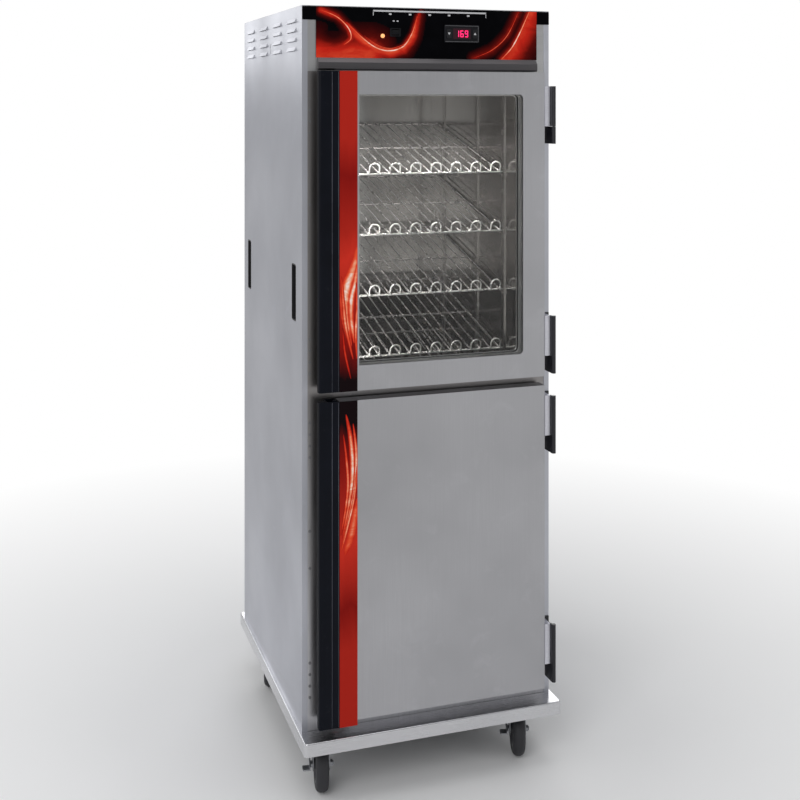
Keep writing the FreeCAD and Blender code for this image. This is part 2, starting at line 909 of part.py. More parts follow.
def soft_block(half_x, half_z, y0, y1, radius, offset=0.0):
    """The same with its four corners, seen from the front, rounded."""
    x = controller_x + offset
    return rounded_box(
        x - half_x, x + half_x, y0, y1, controller_z - half_z, controller_z + half_z, radius, Vector(0, 1, 0)
    )


def controller():
    """The digital thermostat: case with bezel, display window and two keys."""
    half_x = controller_width / 2
    half_z = controller_height / 2
    front = controller_face_y
    bezel = soft_block(half_x, half_z, front, -overlay_thickness, controller_corner)
    case = controller_block(
        half_x - controller_case_inset[0], half_z - controller_case_inset[1], -2, controller_case_depth
    )
    window = controller_block(display_width / 2, display_height / 2, front - 1, front + display_recess)
    cuts = [window]
    for offset in key_places.values():
        cuts.append(controller_block(
            key_width / 2 + key_gap, key_height / 2 + key_gap, front - 1, front + key_well_depth, offset
        ))
    save("controller_body", without(joined([bezel, case]), cuts))

    lens = soft_block(
        display_width / 2 - display_gap, display_height / 2 - display_gap,
        front + 2 * display_gap, front + display_recess - 0.1, 1.5,
    )
    save("controller_display", lens)
    for name, offset in key_places.items():
        key = soft_block(key_width / 2, key_height / 2, front - key_proud, front + key_back, 2.0, offset)
        save(name, key)


rocker_pivot_y = 2.0
rocker_half_x = 9.0
rocker_half_z = 5.8
rocker_proud = 3.4
rocker_back = 3.0
rocker_foot_half = 2.6
switch_well_half = (9.6, 7.8)
switch_case_back = 24.0
switch_well_back = 14.0
switch_flange_thickness = 2.2
switch_pin_radius = 1.2
switch_pin_clearance = 0.05


def switch_pin(radius, half_length):
    """A level bar through the rocker's pivot."""
    start = Vector(switch_x - half_length, rocker_pivot_y, switch_z)
    return rod(radius, start, start + Vector(2 * half_length, 0, 0))


def power_switch():
    """A rocker switch: a fixed housing and a rocker that tips about a level pin."""
    front = -overlay_thickness
    flange = rounded_box(
        switch_x - switch_width / 2, switch_x + switch_width / 2,
        front - switch_flange_thickness, front - 0.1,
        switch_z - switch_height / 2, switch_z + switch_height / 2, 2.0, Vector(0, 1, 0),
    )
    half_x, half_z = switch_case_half
    case = box(
        switch_x - half_x, switch_x + half_x, front - 0.5, switch_case_back,
        switch_z - half_z, switch_z + half_z,
    )
    well_x, well_z = switch_well_half
    well = box(
        switch_x - well_x, switch_x + well_x, front - 3, switch_well_back, switch_z - well_z, switch_z + well_z
    )
    pin = switch_pin(switch_pin_radius, well_x + 1)
    save("switch_housing", joined([joined([flange, case]).cut(well), pin]))

    crest = front - rocker_proud
    foot = rocker_pivot_y + rocker_back
    outline = [
        (crest - 2.2, switch_z + rocker_half_z),
        (crest + 0.9, switch_z),
        (crest - 0.6, switch_z - rocker_half_z),
        (front + 0.4, switch_z - rocker_half_z),
        (foot, switch_z - rocker_foot_half),
        (foot, switch_z + rocker_foot_half),
        (front + 0.4, switch_z + rocker_half_z),
    ]
    rocker = side_prism(outline, switch_x - rocker_half_x, switch_x + rocker_half_x)
    save("power_rocker", rocker.cut(switch_pin(switch_pin_radius + switch_pin_clearance, rocker_half_x + 1)))


def indicator_lamp():
    """A small domed amber lens with its barrel behind the panel."""
    front = -overlay_thickness
    face = front - 1.0
    rim_start = Vector(lamp_x, face - 0.4, lamp_z)
    rim = rod(lamp_radius + lamp_rim_width, rim_start, Vector(lamp_x, front - 0.1, lamp_z))
    barrel = rod(lamp_barrel_radius, Vector(lamp_x, face, lamp_z), Vector(lamp_x, lamp_barrel_depth, lamp_z))
    dome = Part.makeSphere(lamp_dome_radius, Vector(lamp_x, face + 3.0, lamp_z))
    keep = rod(lamp_radius, Vector(lamp_x, face - 5, lamp_z), Vector(lamp_x, face, lamp_z))
    save("indicator_lamp", joined([rim, barrel, dome.common(keep)]))


terminal_first_x = 150.0
terminal_front_y = 560.0
terminal_depth = 32.0
terminal_ways = 6
terminal_pitch = 15.0
terminal_way_width = 12.0
terminal_base_height = 10.0
terminal_way_height = 24.0
terminal_screw_radius = 3.0
terminal_screw_insets = (9.0, 23.0)


def terminal_block():
    """The mains terminal strip on the floor of the control compartment."""
    low = insulation_top_z + 0.3
    front = terminal_front_y
    back = front + terminal_depth
    length = terminal_ways * terminal_pitch + 10
    pieces = [box(terminal_first_x, terminal_first_x + length, front, back, low, low + terminal_base_height)]
    for index in range(terminal_ways):
        x = terminal_first_x + 6 + terminal_pitch * index
        pieces.append(box(
            x, x + terminal_way_width, front + 2, back - 2,
            low + terminal_base_height - 1, low + terminal_way_height,
        ))
        middle = x + terminal_way_width / 2
        for inset in terminal_screw_insets:
            foot = Vector(middle, front + inset, low + terminal_way_height - 4)
            pieces.append(rod(terminal_screw_radius, foot, foot + Vector(0, 0, 5.5)))
    save("terminal_block", joined(pieces))


# ---- doors -------------------------------------------------------------------------------------------------
pull_wall = 3.0
pull_throat = 19.0
pull_lip_depth = 17.0
pull_boss = {"from_right": 7.0, "y": -26.0, "radius": 5.0, "hole_radius": 2.0}
gasket_half_width = 291.0
gasket_face_width = 14.0
gasket_inset = 5.0
pane_thickness = 4.0
outer_pane_inset = 1.2
inner_pane_inset = 2.2
pane_overlap = 10.0
barrel_radius = 5.4
hinge_pin_radius = 3.0
hinge_bore_clearance = 0.05
hinge_strap_front = -46.5
hinge_strap_back = -14.0
hinge_strap_wall = 3.0
hinge_flange_thickness = 2.8


def door_skin(bottom, top):
    """Outer sheet of a door, folded back along its top, bottom and hinge edges."""
    outer = box(pull_right + 0.2, door_right, door_front_y, door_back_y, bottom, top)
    inner = box(
        pull_right - 1, door_right - sheet, door_front_y + sheet, door_back_y + 1, bottom + sheet, top - sheet
    )
    return outer.cut(inner)


def window_opening(y0, y1, inset):
    """The glazed opening: square beside the decor strip, rounded at its two far corners."""
    block = box(
        window_left + inset, window_right - inset, y0, y1, window_bottom + inset, window_top - inset
    )
    far_corners = edges_where(
        block, lambda edge: edge.BoundBox.YLength > 0.9 * (y1 - y0) and edge.CenterOfMass.x > 0
    )
    return block.makeFillet(window_corner_radius, far_corners)


def pull_profile():
    """Outline of the pull extrusion seen from above, with a throat for the fingers on its outer side."""
    left = door_left
    front = door_front_y - 1.0
    back = door_back_y - pull_gasket_gap
    return [
        (left + 5, front),
        (pull_right, front),
        (pull_right, back),
        (left + pull_throat, back),
        (left + pull_throat, front + pull_lip_depth + 4),
        (left, front + pull_lip_depth),
        (left, front + 5),
        (left + 1.5, front + 1.5),
    ]


def door_pull(bottom, top):
    """A full-height hollow extrusion with two grooves down its face and a screw boss inside."""
    outer = plan_prism(pull_profile(), bottom, top)
    hollow = box(
        door_left + pull_throat + pull_wall, pull_right - pull_wall,
        door_front_y + pull_wall - 1, door_back_y - pull_wall, bottom - 1, top + 1,
    )
    grooves = []
    for from_edge in pull_groove_places:
        x = door_left + from_edge
        grooves.append(box(
            x, x + pull_groove_width, door_front_y - 2, door_front_y + 0.2, bottom - 1, top + 1
        ))
    shell = without(outer.cut(hollow), grooves)
    x = pull_right - pull_boss["from_right"]
    y = pull_boss["y"]
    boss = rod(pull_boss["radius"], Vector(x, y, bottom), Vector(x, y, top))
    boss_hole = rod(pull_boss["hole_radius"], Vector(x, y, bottom - 1), Vector(x, y, top + 1))
    return joined([shell, boss]).cut(boss_hole)


def door_gasket(bottom, top):
    """A magnetic bulb seal round the back of a door."""
    front = door_back_y + 0.1
    back = -door_gasket_front_gap
    outer_half = gasket_half_width
    inner_half = outer_half - gasket_face_width
    inset = gasket_inset + gasket_face_width
    outer = rounded_box(
        -outer_half, outer_half, front, back, bottom + gasket_inset, top - gasket_inset, 12.0, Vector(0, 1, 0)
    )
    inner = rounded_box(
        -inner_half, inner_half, front - 1, back + 1, bottom + inset, top - inset, 6.0, Vector(0, 1, 0)
    )
    return outer.cut(inner)


def hinge_door_leaf(bottom):
    """The moving leaf of one hinge: a channel on the door's edge and the upper barrel."""
    low = bottom + hinge_fixed_length + hinge_split_gap
    high = bottom + hinge_length
    wall = hinge_strap_wall
    outer_x = hinge_axis_x - 2
    strap = box(door_right + 0.1, outer_x, hinge_strap_front, hinge_strap_back, low, high)
    top_corner = edges_where(
        strap, lambda edge: edge.BoundBox.YLength > 10 and edge.CenterOfMass.x > outer_x - 1
        and edge.CenterOfMass.z > high - 1
    )
    strap = strap.makeFillet(4.0, top_corner)
    relief = box(
        door_right + wall, outer_x - wall, hinge_strap_front + wall, hinge_strap_back + 2,
        low + wall, high - wall,
    )
    axis = Vector(hinge_axis_x, hinge_axis_y, 0)
    barrel = rod(barrel_radius, axis + Vector(0, 0, low), axis + Vector(0, 0, high))
    web = box(hinge_axis_x - barrel_radius, outer_x, hinge_axis_y, hinge_strap_front + wall, low, high)
    bore = rod(
        hinge_pin_radius + hinge_bore_clearance, axis + Vector(0, 0, low - 1), axis + Vector(0, 0, high - 12)
    )
    return joined([strap.cut(relief), barrel, web]).cut(bore)


def hinge_frame_leaf(bottom):
    """The fixed leaf of one hinge: a flange on the stile, a web, the lower barrel and the pin."""
    high = bottom + hinge_fixed_length
    axis = Vector(hinge_axis_x, hinge_axis_y, 0)
    foot = axis + Vector(0, 0, bottom)
    flange = box(
        hinge_axis_x - 14, half_width - 1.0, -0.2 - hinge_flange_thickness, -0.2,
        bottom, bottom + hinge_length,
    )
    web = box(hinge_axis_x - barrel_radius, hinge_axis_x - 1.4, hinge_axis_y, -2, bottom, high)
    barrel = rod(barrel_radius, foot, axis + Vector(0, 0, high))
    pin = rod(hinge_pin_radius, foot, foot + Vector(0, 0, hinge_length - 14))
    return joined([flange, web, barrel, pin])


def glazing():
    """Two panes in the upper door and the spacer between them."""
    outer_front = door_front_y + outer_pane_inset
    inner_back = door_back_y - inner_pane_inset
    outer_pane = window_opening(outer_front, outer_front + pane_thickness, -pane_overlap)
    inner_pane = window_opening(inner_back - pane_thickness, inner_back, -pane_overlap)
    save("door_upper_panes", group([outer_pane, inner_pane]))

    front = outer_front + pane_thickness + 0.1
    back = inner_back - pane_thickness - 0.1
    spacer = window_opening(front, back, 2 - pane_overlap).cut(window_opening(front - 1, back + 1, 0.5))
    save("door_upper_spacer", spacer)


def door_inner_panel(bottom, top):
    """The flat sheet on the back of a door."""
    return box(
        pull_right + 0.4, door_right - sheet - 0.2, door_back_y - sheet, door_back_y, bottom + 2, top - 2
    )


def door_core(bottom, top):
    """The foam board between a door's two sheets."""
    margin = sheet + 0.4
    return box(
        pull_right + 0.6, door_right - sheet - 0.2, door_front_y + sheet + 0.2,
        door_back_y - sheet - 0.2, bottom + margin, top - margin,
    )


def upper_door():
    bottom = upper_door_bottom
    top = upper_door_top
    save("door_upper_skin", door_skin(bottom, top).cut(window_opening(door_front_y - 1, 0, 0.0)))
    save("door_upper_inner_panel", door_inner_panel(bottom, top).cut(window_opening(door_back_y - 2, 0, 4.0)))
    save("door_upper_core", door_core(bottom, top).cut(window_opening(door_front_y, 0, -pane_overlap - 1)))
    save_door_trim("door_upper", bottom, top, bottom)


def lower_door():
    bottom = lower_door_bottom
    top = lower_door_top
    save("door_lower_skin", door_skin(bottom, top))
    save("door_lower_inner_panel", door_inner_panel(bottom, top))
    save("door_lower_core", door_core(bottom, top))
    save_door_trim("door_lower", bottom, top, lower_pull_bottom)


def save_door_trim(door, bottom, top, pull_bottom):
    """The pull, decor strip, seal and moving hinge leaves of one door."""
    save(door + "_pull", door_pull(pull_bottom, top))
    save(door + "_accent", accent_strip(pull_bottom, top))
    save(door + "_gasket", door_gasket(bottom, top))
    save(door + "_hinges", group([hinge_door_leaf(z) for z in hinge_bottoms[door]]))


def accent_strip(bottom, top):
    """The printed decor strip beside the pull."""
    return box(
        pull_right + 0.3, accent_right, door_front_y - accent_thickness - 0.1, door_front_y - 0.1, bottom, top
    )


# ---- casters -----------------------------------------------------------------------------------------------
caster_plate_half = (48.0, 34.0)
caster_plate_thickness = 4.0
caster_bolt_places = (38.0, 25.0)
caster_bolt_radius = 6.0
caster_bolt_head = 2.8
kingpin_nut_radius = 10.0
kingpin_nut_height = 4.0
race_radius = 29.0
kingpin_foot = 4.5
fork_plate_z = 139.0
fork_half_depth = 27.0
fork_thickness = 3.0
hub_half = 18.2
leg_inner = 18.5
axle_radius = 5.0
pedal_pivot_y = -14.0
pedal_pivot_z = 84.0
kingpin_radius = 6.0
fork_bore_clearance = 0.08
pedal_pivot_radius = 3.5
pedal_bore_clearance = 0.06
pedal_gap = 5.6
pedal_thickness = 3.0
pedal_tab = {"back": -46.0, "front": -68.0, "bottom": 63.0, "reach": 17.0}
bolt_head_radius = 8.5
tyre_bore_radius = 44.0
tyre_crown_radius = 13.0
hub_rim_inner = 37.0
hub_boss_ring = 14.0
hub_boss_radius = 12.0
hub_dish_depth = 7.0


def caster_places():
    """Where each caster's kingpin stands."""
    return {
        "front_left": (-caster_x, caster_front_y),
        "front_right": (caster_x, caster_front_y),
        "back_left": (-caster_x, caster_back_y),
        "back_right": (caster_x, caster_back_y),
    }


def caster_mount():
    """Top plate with its bolt heads, bearing race and kingpin, with the kingpin on the z axis."""
    top = caster_total_height - 0.1
    half_x, half_y = caster_plate_half
    low = top - caster_plate_thickness
    plate = rounded_box(-half_x, half_x, -half_y, half_y, low, top, 6.0, Vector(0, 0, 1))
    bolt_x, bolt_y = caster_bolt_places
    upward = Vector(0, 0, 1)
    bolts = []
    for x in (-bolt_x, bolt_x):
        for y in (-bolt_y, bolt_y):
            head = Vector(x, y, low - caster_bolt_head)
            bolts.append(hex_head(caster_bolt_radius, caster_bolt_head + 0.5, head, upward))
    foot = Vector(0, 0, fork_plate_z - kingpin_foot)
    race = rod(race_radius, Vector(0, 0, fork_plate_z + fork_thickness + 0.4), Vector(0, 0, low + 1))
    pin = rod(kingpin_radius, foot, Vector(0, 0, low + 1))
    nut = hex_head(kingpin_nut_radius, kingpin_nut_height, foot, upward)
    return joined([plate, race, pin, nut] + bolts)


def fork_leg(side):
    """One leg of the fork, tapering from the crown down and forward to the axle."""
    x0 = side * leg_inner
    axle_y = -caster_trail
    outline = [
        (-fork_half_depth, fork_plate_z + fork_thickness),
        (fork_half_depth, fork_plate_z + fork_thickness),
        (14.0, 96.0),
        (axle_y + 16, wheel_radius - 8),
        (axle_y + 8, wheel_radius - 14),
        (axle_y - 8, wheel_radius - 14),
        (axle_y - 14, wheel_radius - 6),
        (axle_y - 12, 100.0),
    ]
    return side_prism(outline, x0, x0 + side * fork_thickness)


def caster_fork(with_brake):
    """The pressed fork and its axle bolt, as two solids."""
    reach = leg_inner + fork_thickness
    low = fork_plate_z
    high = fork_plate_z + fork_thickness
    crown = box(-reach, reach, -fork_half_depth, fork_half_depth, low, high)
    disc = rod(race_radius, Vector(0, 0, low), Vector(0, 0, high))
    kingpin_bore = rod(kingpin_radius + fork_bore_clearance, Vector(0, 0, low - 2), Vector(0, 0, high + 2))
    axle_start = Vector(-reach - 0.5, -caster_trail, wheel_radius)
    axle_end = Vector(reach + 6, -caster_trail, wheel_radius)
    axle_bore = rod(axle_radius + 0.1, axle_start - Vector(5, 0, 0), axle_end)
    fork = without(joined([crown, disc, fork_leg(-1), fork_leg(1)]), [kingpin_bore, axle_bore])
    if with_brake:
        pivot_end = Vector(-leg_inner - 0.5, pedal_pivot_y, pedal_pivot_z)
        pivot = rod(pedal_pivot_radius, pivot_end - Vector(pedal_gap + 4.9, 0, 0), pivot_end)
        fork = joined([fork, pivot])
    along = Vector(1, 0, 0)
    head = hex_head(bolt_head_radius, 4.5, Vector(-reach - 4.7, -caster_trail, wheel_radius), along)
    nut = hex_head(bolt_head_radius, 6.5, Vector(reach + 0.2, -caster_trail, wheel_radius), along)
    axle = joined([rod(axle_radius, axle_start, axle_end + Vector(3, 0, 0)), head, nut])
    return group([fork, axle])


def tyre_section():
    """Half of the tyre cut through its axle: flat sides and a crown rounded at both shoulders."""
    half = wheel_width / 2
    crown = tyre_crown_radius
    bulge = crown * (1 - math.sqrt(0.5))
    rim_left = Vector(-half, 0, tyre_bore_radius)
    side_left = Vector(-half, 0, wheel_radius - crown)
    crest_left = Vector(crown - half, 0, wheel_radius)
    crest_right = Vector(half - crown, 0, wheel_radius)
    side_right = Vector(half, 0, wheel_radius - crown)
    rim_right = Vector(half, 0, tyre_bore_radius)
    return Part.Face(Part.Wire([
        Part.makeLine(rim_left, side_left),
        Part.Arc(side_left, Vector(bulge - half, 0, wheel_radius - bulge), crest_left).toShape(),
        Part.makeLine(crest_left, crest_right),
        Part.Arc(crest_right, Vector(half - bulge, 0, wheel_radius - bulge), side_right).toShape(),
        Part.makeLine(side_right, rim_right),
        Part.makeLine(rim_right, rim_left),
    ]))


def caster_wheel():
    """A crowned rubber tyre moulded round a dished hub, as two solids."""
    half = wheel_width / 2
    tyre = tyre_section().revolve(Vector(0, 0, 0), Vector(1, 0, 0), 360)
    disc = rod(tyre_bore_radius - 0.05, Vector(1 - half, 0, 0), Vector(half - 1, 0, 0))
    dishes = []
    for start in (-half, half - hub_dish_depth):
        dish_end = Vector(start + hub_dish_depth, 0, 0)
        dishes.append(tube(hub_rim_inner, hub_boss_ring, Vector(start, 0, 0), dish_end))
    boss = rod(hub_boss_radius, Vector(-hub_half, 0, 0), Vector(hub_half, 0, 0))
    bore = rod(axle_radius + 0.06, Vector(-hub_half - 1, 0, 0), Vector(hub_half + 1, 0, 0))
    hub = joined([without(disc, dishes), boss]).cut(bore)
    wheel = group([tyre, hub])
    wheel.translate(Vector(0, -caster_trail, wheel_radius))
    return wheel


def brake_pedal():
    """A side lever that turns on the fork's pivot and carries a foot tab."""
    x_inner = -leg_inner - fork_thickness - pedal_gap
    x_outer = x_inner - pedal_thickness
    front = pedal_tab["front"]
    bottom = pedal_tab["bottom"]
    outline = [
        (pedal_pivot_y + 9, pedal_pivot_z + 5),
        (pedal_pivot_y + 2, pedal_pivot_z + 10),
        (pedal_pivot_y - 8, pedal_pivot_z + 8),
        (front, bottom + 9),
        (front, bottom),
        (pedal_tab["back"], bottom),
        (pedal_pivot_y + 6, pedal_pivot_z - 9),
        (pedal_pivot_y + 10, pedal_pivot_z - 3),
    ]
    bore = rod(
        pedal_pivot_radius + pedal_bore_clearance,
        Vector(x_outer - 1, pedal_pivot_y, pedal_pivot_z), Vector(x_inner + 1, pedal_pivot_y, pedal_pivot_z),
    )
    plate = side_prism(outline, x_outer, x_inner).cut(bore)
    tab = rounded_box(
        x_outer - pedal_tab["reach"], x_inner, front, pedal_tab["back"],
        bottom, bottom + pedal_thickness, 4.0, Vector(0, 0, 1),
    )
    return joined([plate, tab])


def stand(shape, name):
    """Turn a caster piece by its own swivel angle and stand it under the cabinet."""
    x, y = caster_places()[name]
    placed = shape.copy()
    placed.rotate(Vector(0, 0, 0), Vector(0, 0, 1), caster_swivel[name])
    placed.translate(Vector(x, y, 0))
    return placed


def casters():
    mounts = []
    for name, (x, y) in caster_places().items():
        mount = caster_mount()
        mount.translate(Vector(x, y, 0))
        mounts.append(mount)
        with_brake = name.startswith("front")
        save("caster_fork_" + name, stand(caster_fork(with_brake), name))
        save("caster_wheel_" + name, stand(caster_wheel(), name))
        if with_brake:
            save("brake_pedal_" + name, stand(brake_pedal(), name))
    save("caster_mounts", group(mounts))


def hinge_frame_leaves():
    leaves = []
    for bottoms in hinge_bottoms.values():
        leaves.extend(hinge_frame_leaf(z) for z in bottoms)
    save("hinge_frame_leaves", group(leaves))


def main():
    os.makedirs("parts", exist_ok=True)
    outer_shell()
    power_inlet()
    base_chassis()
    bumpers()
    liner()
    insulation()
    door_frame()
    frame_screws()
    racks()
    shelves()
    blower_motor()
    fan_wheel()
    heating_element()
    air_baffle()
    control_header()
    drip_visor()
    controller()
    power_switch()
    indicator_lamp()
    terminal_block()
    hinge_frame_leaves()
    glazing()
    upper_door()
    lower_door()
    casters()


main()
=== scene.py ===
import json
import math

import bmesh
import bpy
from mathutils import Matrix, Vector


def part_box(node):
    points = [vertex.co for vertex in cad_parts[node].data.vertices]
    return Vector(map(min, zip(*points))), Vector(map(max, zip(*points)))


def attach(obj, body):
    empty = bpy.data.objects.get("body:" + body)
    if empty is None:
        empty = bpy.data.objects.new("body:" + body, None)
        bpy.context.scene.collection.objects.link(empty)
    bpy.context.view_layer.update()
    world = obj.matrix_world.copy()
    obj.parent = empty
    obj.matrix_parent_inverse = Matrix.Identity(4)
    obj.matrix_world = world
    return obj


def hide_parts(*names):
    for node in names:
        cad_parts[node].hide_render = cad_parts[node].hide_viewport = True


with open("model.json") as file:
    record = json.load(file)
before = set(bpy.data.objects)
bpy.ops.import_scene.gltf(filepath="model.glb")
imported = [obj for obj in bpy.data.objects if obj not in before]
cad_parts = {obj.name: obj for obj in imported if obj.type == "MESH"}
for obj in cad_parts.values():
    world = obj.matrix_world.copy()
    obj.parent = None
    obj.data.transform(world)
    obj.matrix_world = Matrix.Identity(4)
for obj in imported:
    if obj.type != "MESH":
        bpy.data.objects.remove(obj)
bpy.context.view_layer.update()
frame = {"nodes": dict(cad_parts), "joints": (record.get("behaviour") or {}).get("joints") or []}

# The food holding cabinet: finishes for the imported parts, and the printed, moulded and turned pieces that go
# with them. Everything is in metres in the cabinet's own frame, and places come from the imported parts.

MM = 0.001


# ---- finishes ----------------------------------------------------------------------------------------------
# Noise values mostly lie between these two, so most tones are spread over that span.
noise_low = 0.3
noise_high = 0.7


class Finish:
    """One node material. Every helper adds a node and returns its output socket."""

    def __init__(self, name):
        self.material = bpy.data.materials.new(name)
        self.material.use_nodes = True
        self.tree = self.material.node_tree
        self.shader = self.tree.nodes["Principled BSDF"]
        self.place = self.tree.nodes.new("ShaderNodeTexCoord").outputs["Object"]

    def feed(self, value, socket):
        if isinstance(value, bpy.types.NodeSocket):
            self.tree.links.new(value, socket)
        else:
            socket.default_value = value

    def set(self, socket_name, value):
        self.feed(value, self.shader.inputs[socket_name])

    def stretched(self, scale, turn=(0, 0, 0)):
        made = self.tree.nodes.new("ShaderNodeMapping")
        self.feed(self.place, made.inputs["Vector"])
        made.inputs["Scale"].default_value = scale
        made.inputs["Rotation"].default_value = turn
        return made.outputs["Vector"]

    def noise(self, vector, scale, detail=4.0, roughness=0.55, distortion=0.0):
        made = self.tree.nodes.new("ShaderNodeTexNoise")
        self.feed(vector, made.inputs["Vector"])
        made.inputs["Scale"].default_value = scale
        made.inputs["Detail"].default_value = detail
        made.inputs["Roughness"].default_value = roughness
        made.inputs["Distortion"].default_value = distortion
        return made.outputs["Fac"]

    def cells(self, vector, scale):
        made = self.tree.nodes.new("ShaderNodeTexVoronoi")
        self.feed(vector, made.inputs["Vector"])
        made.inputs["Scale"].default_value = scale
        return made.outputs["Distance"]

    def axis(self, name):
        made = self.tree.nodes.new("ShaderNodeSeparateXYZ")
        self.feed(self.place, made.inputs[0])
        return made.outputs[name]

    def attribute(self, name):
        made = self.tree.nodes.new("ShaderNodeAttribute")
        made.attribute_name = name
        return made.outputs["Fac"]

    def remap(self, value, low, high, to_low=0.0, to_high=1.0):
        made = self.tree.nodes.new("ShaderNodeMapRange")
        for socket, number in zip(made.inputs, (value, low, high, to_low, to_high)):
            self.feed(number, socket)
        return made.outputs[0]

    def math(self, operation, first, second=0.0):
        made = self.tree.nodes.new("ShaderNodeMath")
        made.operation = operation
        self.feed(first, made.inputs[0])
        self.feed(second, made.inputs[1])
        return made.outputs[0]

    def mix(self, factor, first, second):
        made = self.tree.nodes.new("ShaderNodeMix")
        made.data_type = "RGBA"
        self.feed(factor, made.inputs[0])
        for socket in made.inputs:
            if socket.type == "RGBA":
                self.feed(first if socket.name == "A" else second, socket)
        return [socket for socket in made.outputs if socket.type == "RGBA"][0]

    def ramp(self, value, stops):
        made = self.tree.nodes.new("ShaderNodeValToRGB")
        self.feed(value, made.inputs["Fac"])
        elements = made.color_ramp.elements
        elements.remove(elements[1])
        elements[0].position = stops[0][0]
        elements[0].color = stops[0][1]
        for place, colour in stops[1:]:
            elements.new(place).color = colour
        return made.outputs["Color"]

    def spread(self, noise, to_low=0.0, to_high=1.0):
        """A noise value stretched over a range of its own."""
        return self.remap(noise, noise_low, noise_high, to_low, to_high)

    def bump(self, height, distance, strength=1.0):
        made = self.tree.nodes.new("ShaderNodeBump")
        made.inputs["Strength"].default_value = strength
        made.inputs["Distance"].default_value = distance
        self.feed(height, made.inputs["Height"])
        self.feed(made.outputs["Normal"], self.shader.inputs["Normal"])


worn_shade = 0.86
smudge_shade = 1.12
brushing_depth = 0.00004
film_grain = 0.00002
vertical_grain = (1100.0, 1100.0, 9.0)
level_grain = (9.0, 1100.0, 1100.0)


def shade(colour, factor):
    """A colour made darker or lighter, with full alpha."""
    return tuple(min(1.0, channel * factor) for channel in colour[:3]) + (1.0,)


def brushed(name, colour, grain, rough, contrast=0.10, metallic=1.0):
    """Sheet or bar metal: brushing along the short axis of grain, clouds of wear and faint smudges."""
    finish = Finish(name)
    streak = finish.noise(finish.stretched(grain), 1.0, 3.0, 0.7)
    cloud = finish.noise(finish.place, 2.6, 3.0, 0.5)
    smudge = finish.noise(finish.place, 17.0, 5.0, 0.6, 0.6)
    fine = finish.mix(finish.spread(streak), shade(colour, 1 - contrast), shade(colour, 1 + contrast))
    worn = finish.mix(finish.remap(cloud, 0.35, 0.7), fine, shade(colour, worn_shade))
    smudged = finish.remap(smudge, 0.58, 0.8, 0.0, 0.5)
    finish.set("Base Color", finish.mix(smudged, worn, shade(colour, smudge_shade)))
    spread = finish.spread(streak, -0.05, 0.06)
    base = finish.spread(cloud, rough - 0.05, rough + 0.06)
    marks = finish.remap(smudge, 0.55, 0.8, 0.0, 0.08)
    finish.set("Roughness", finish.math("ADD", finish.math("ADD", base, spread), marks))
    finish.set("Metallic", metallic)
    finish.bump(streak, brushing_depth, 0.35)
    return finish.material


def stile_painted_light_finish(name, upper, lower, low_z, high_z):
    """Brushed metal of the door frame, with painted shade high up and a painted floor reflection that makes it
    paler towards the floor.
    """
    finish = Finish(name)
    streak = finish.noise(finish.stretched(vertical_grain), 1.0, 3.0, 0.7)
    cloud = finish.noise(finish.place, 3.0, 3.0, 0.5)
    # Painted light: by height, the colour runs from the dark upper tone (painted shade and reflection) to the
    # pale lower tone (painted floor reflection).
    height = finish.math("ADD", finish.axis("Z"), finish.spread(cloud, -0.08, 0.08))
    tone = finish.mix(finish.remap(height, low_z, high_z), shade(lower, 1.0), shade(upper, 1.0))
    finish.set("Base Color", finish.mix(finish.spread(streak, 0.0, 0.35), tone, shade(upper, 0.8)))
    finish.set("Roughness", finish.spread(cloud, 0.26, 0.36))
    finish.set("Metallic", 1.0)
    finish.bump(streak, brushing_depth, 0.35)
    return finish.material


def moulded(name, colour, rough, grain=900.0, depth=0.00006, specular=0.5):
    """Plastic or rubber with a fine moulded grain, dull patches and a little dust."""
    finish = Finish(name)
    pebbles = finish.cells(finish.place, grain)
    cloud = finish.noise(finish.place, 9.0, 4.0)
    dust = finish.noise(finish.place, 60.0, 5.0, 0.7)
    base = finish.mix(finish.remap(cloud, 0.35, 0.7), shade(colour, 0.8), shade(colour, 1.2))
    pale = tuple(0.85 * channel + 0.05 for channel in colour[:3]) + (1.0,)
    finish.set("Base Color", finish.mix(finish.remap(dust, 0.62, 0.85, 0.0, 0.35), base, pale))
    finish.set("Roughness", finish.spread(cloud, rough - 0.06, rough + 0.08))
    finish.shader.inputs["Specular IOR Level"].default_value = specular
    finish.bump(pebbles, depth, 0.5)
    return finish.material


glass_tint = (0.985, 0.99, 0.988, 1.0)
glass_ior = 1.22


def glass_finish(name):
    """A clear pane: see-through with a fresnel reflection and a trace of dust."""
    finish = Finish(name)
    nodes = finish.tree.nodes
    clear = nodes.new("ShaderNodeBsdfTransparent")
    clear.inputs["Color"].default_value = glass_tint
    mirror = nodes.new("ShaderNodeBsdfGlossy")
    mirror.inputs["Color"].default_value = (1.0, 1.0, 1.0, 1.0)
    haze = finish.noise(finish.place, 24.0, 5.0, 0.7)
    finish.feed(finish.remap(haze, 0.4, 0.8, 0.01, 0.05), mirror.inputs["Roughness"])
    fresnel = nodes.new("ShaderNodeFresnel")
    fresnel.inputs["IOR"].default_value = glass_ior
    share = finish.math("ADD", fresnel.outputs[0], finish.remap(haze, 0.5, 0.8, 0.0, 0.006))
    blend = nodes.new("ShaderNodeMixShader")
    finish.feed(share, blend.inputs[0])
    finish.tree.links.new(clear.outputs[0], blend.inputs[1])
    finish.tree.links.new(mirror.outputs[0], blend.inputs[2])
    output = nodes["Material Output"]
    finish.tree.links.new(blend.outputs[0], output.inputs["Surface"])
    nodes.remove(finish.shader)
    return finish.material


film_specular = 0.03


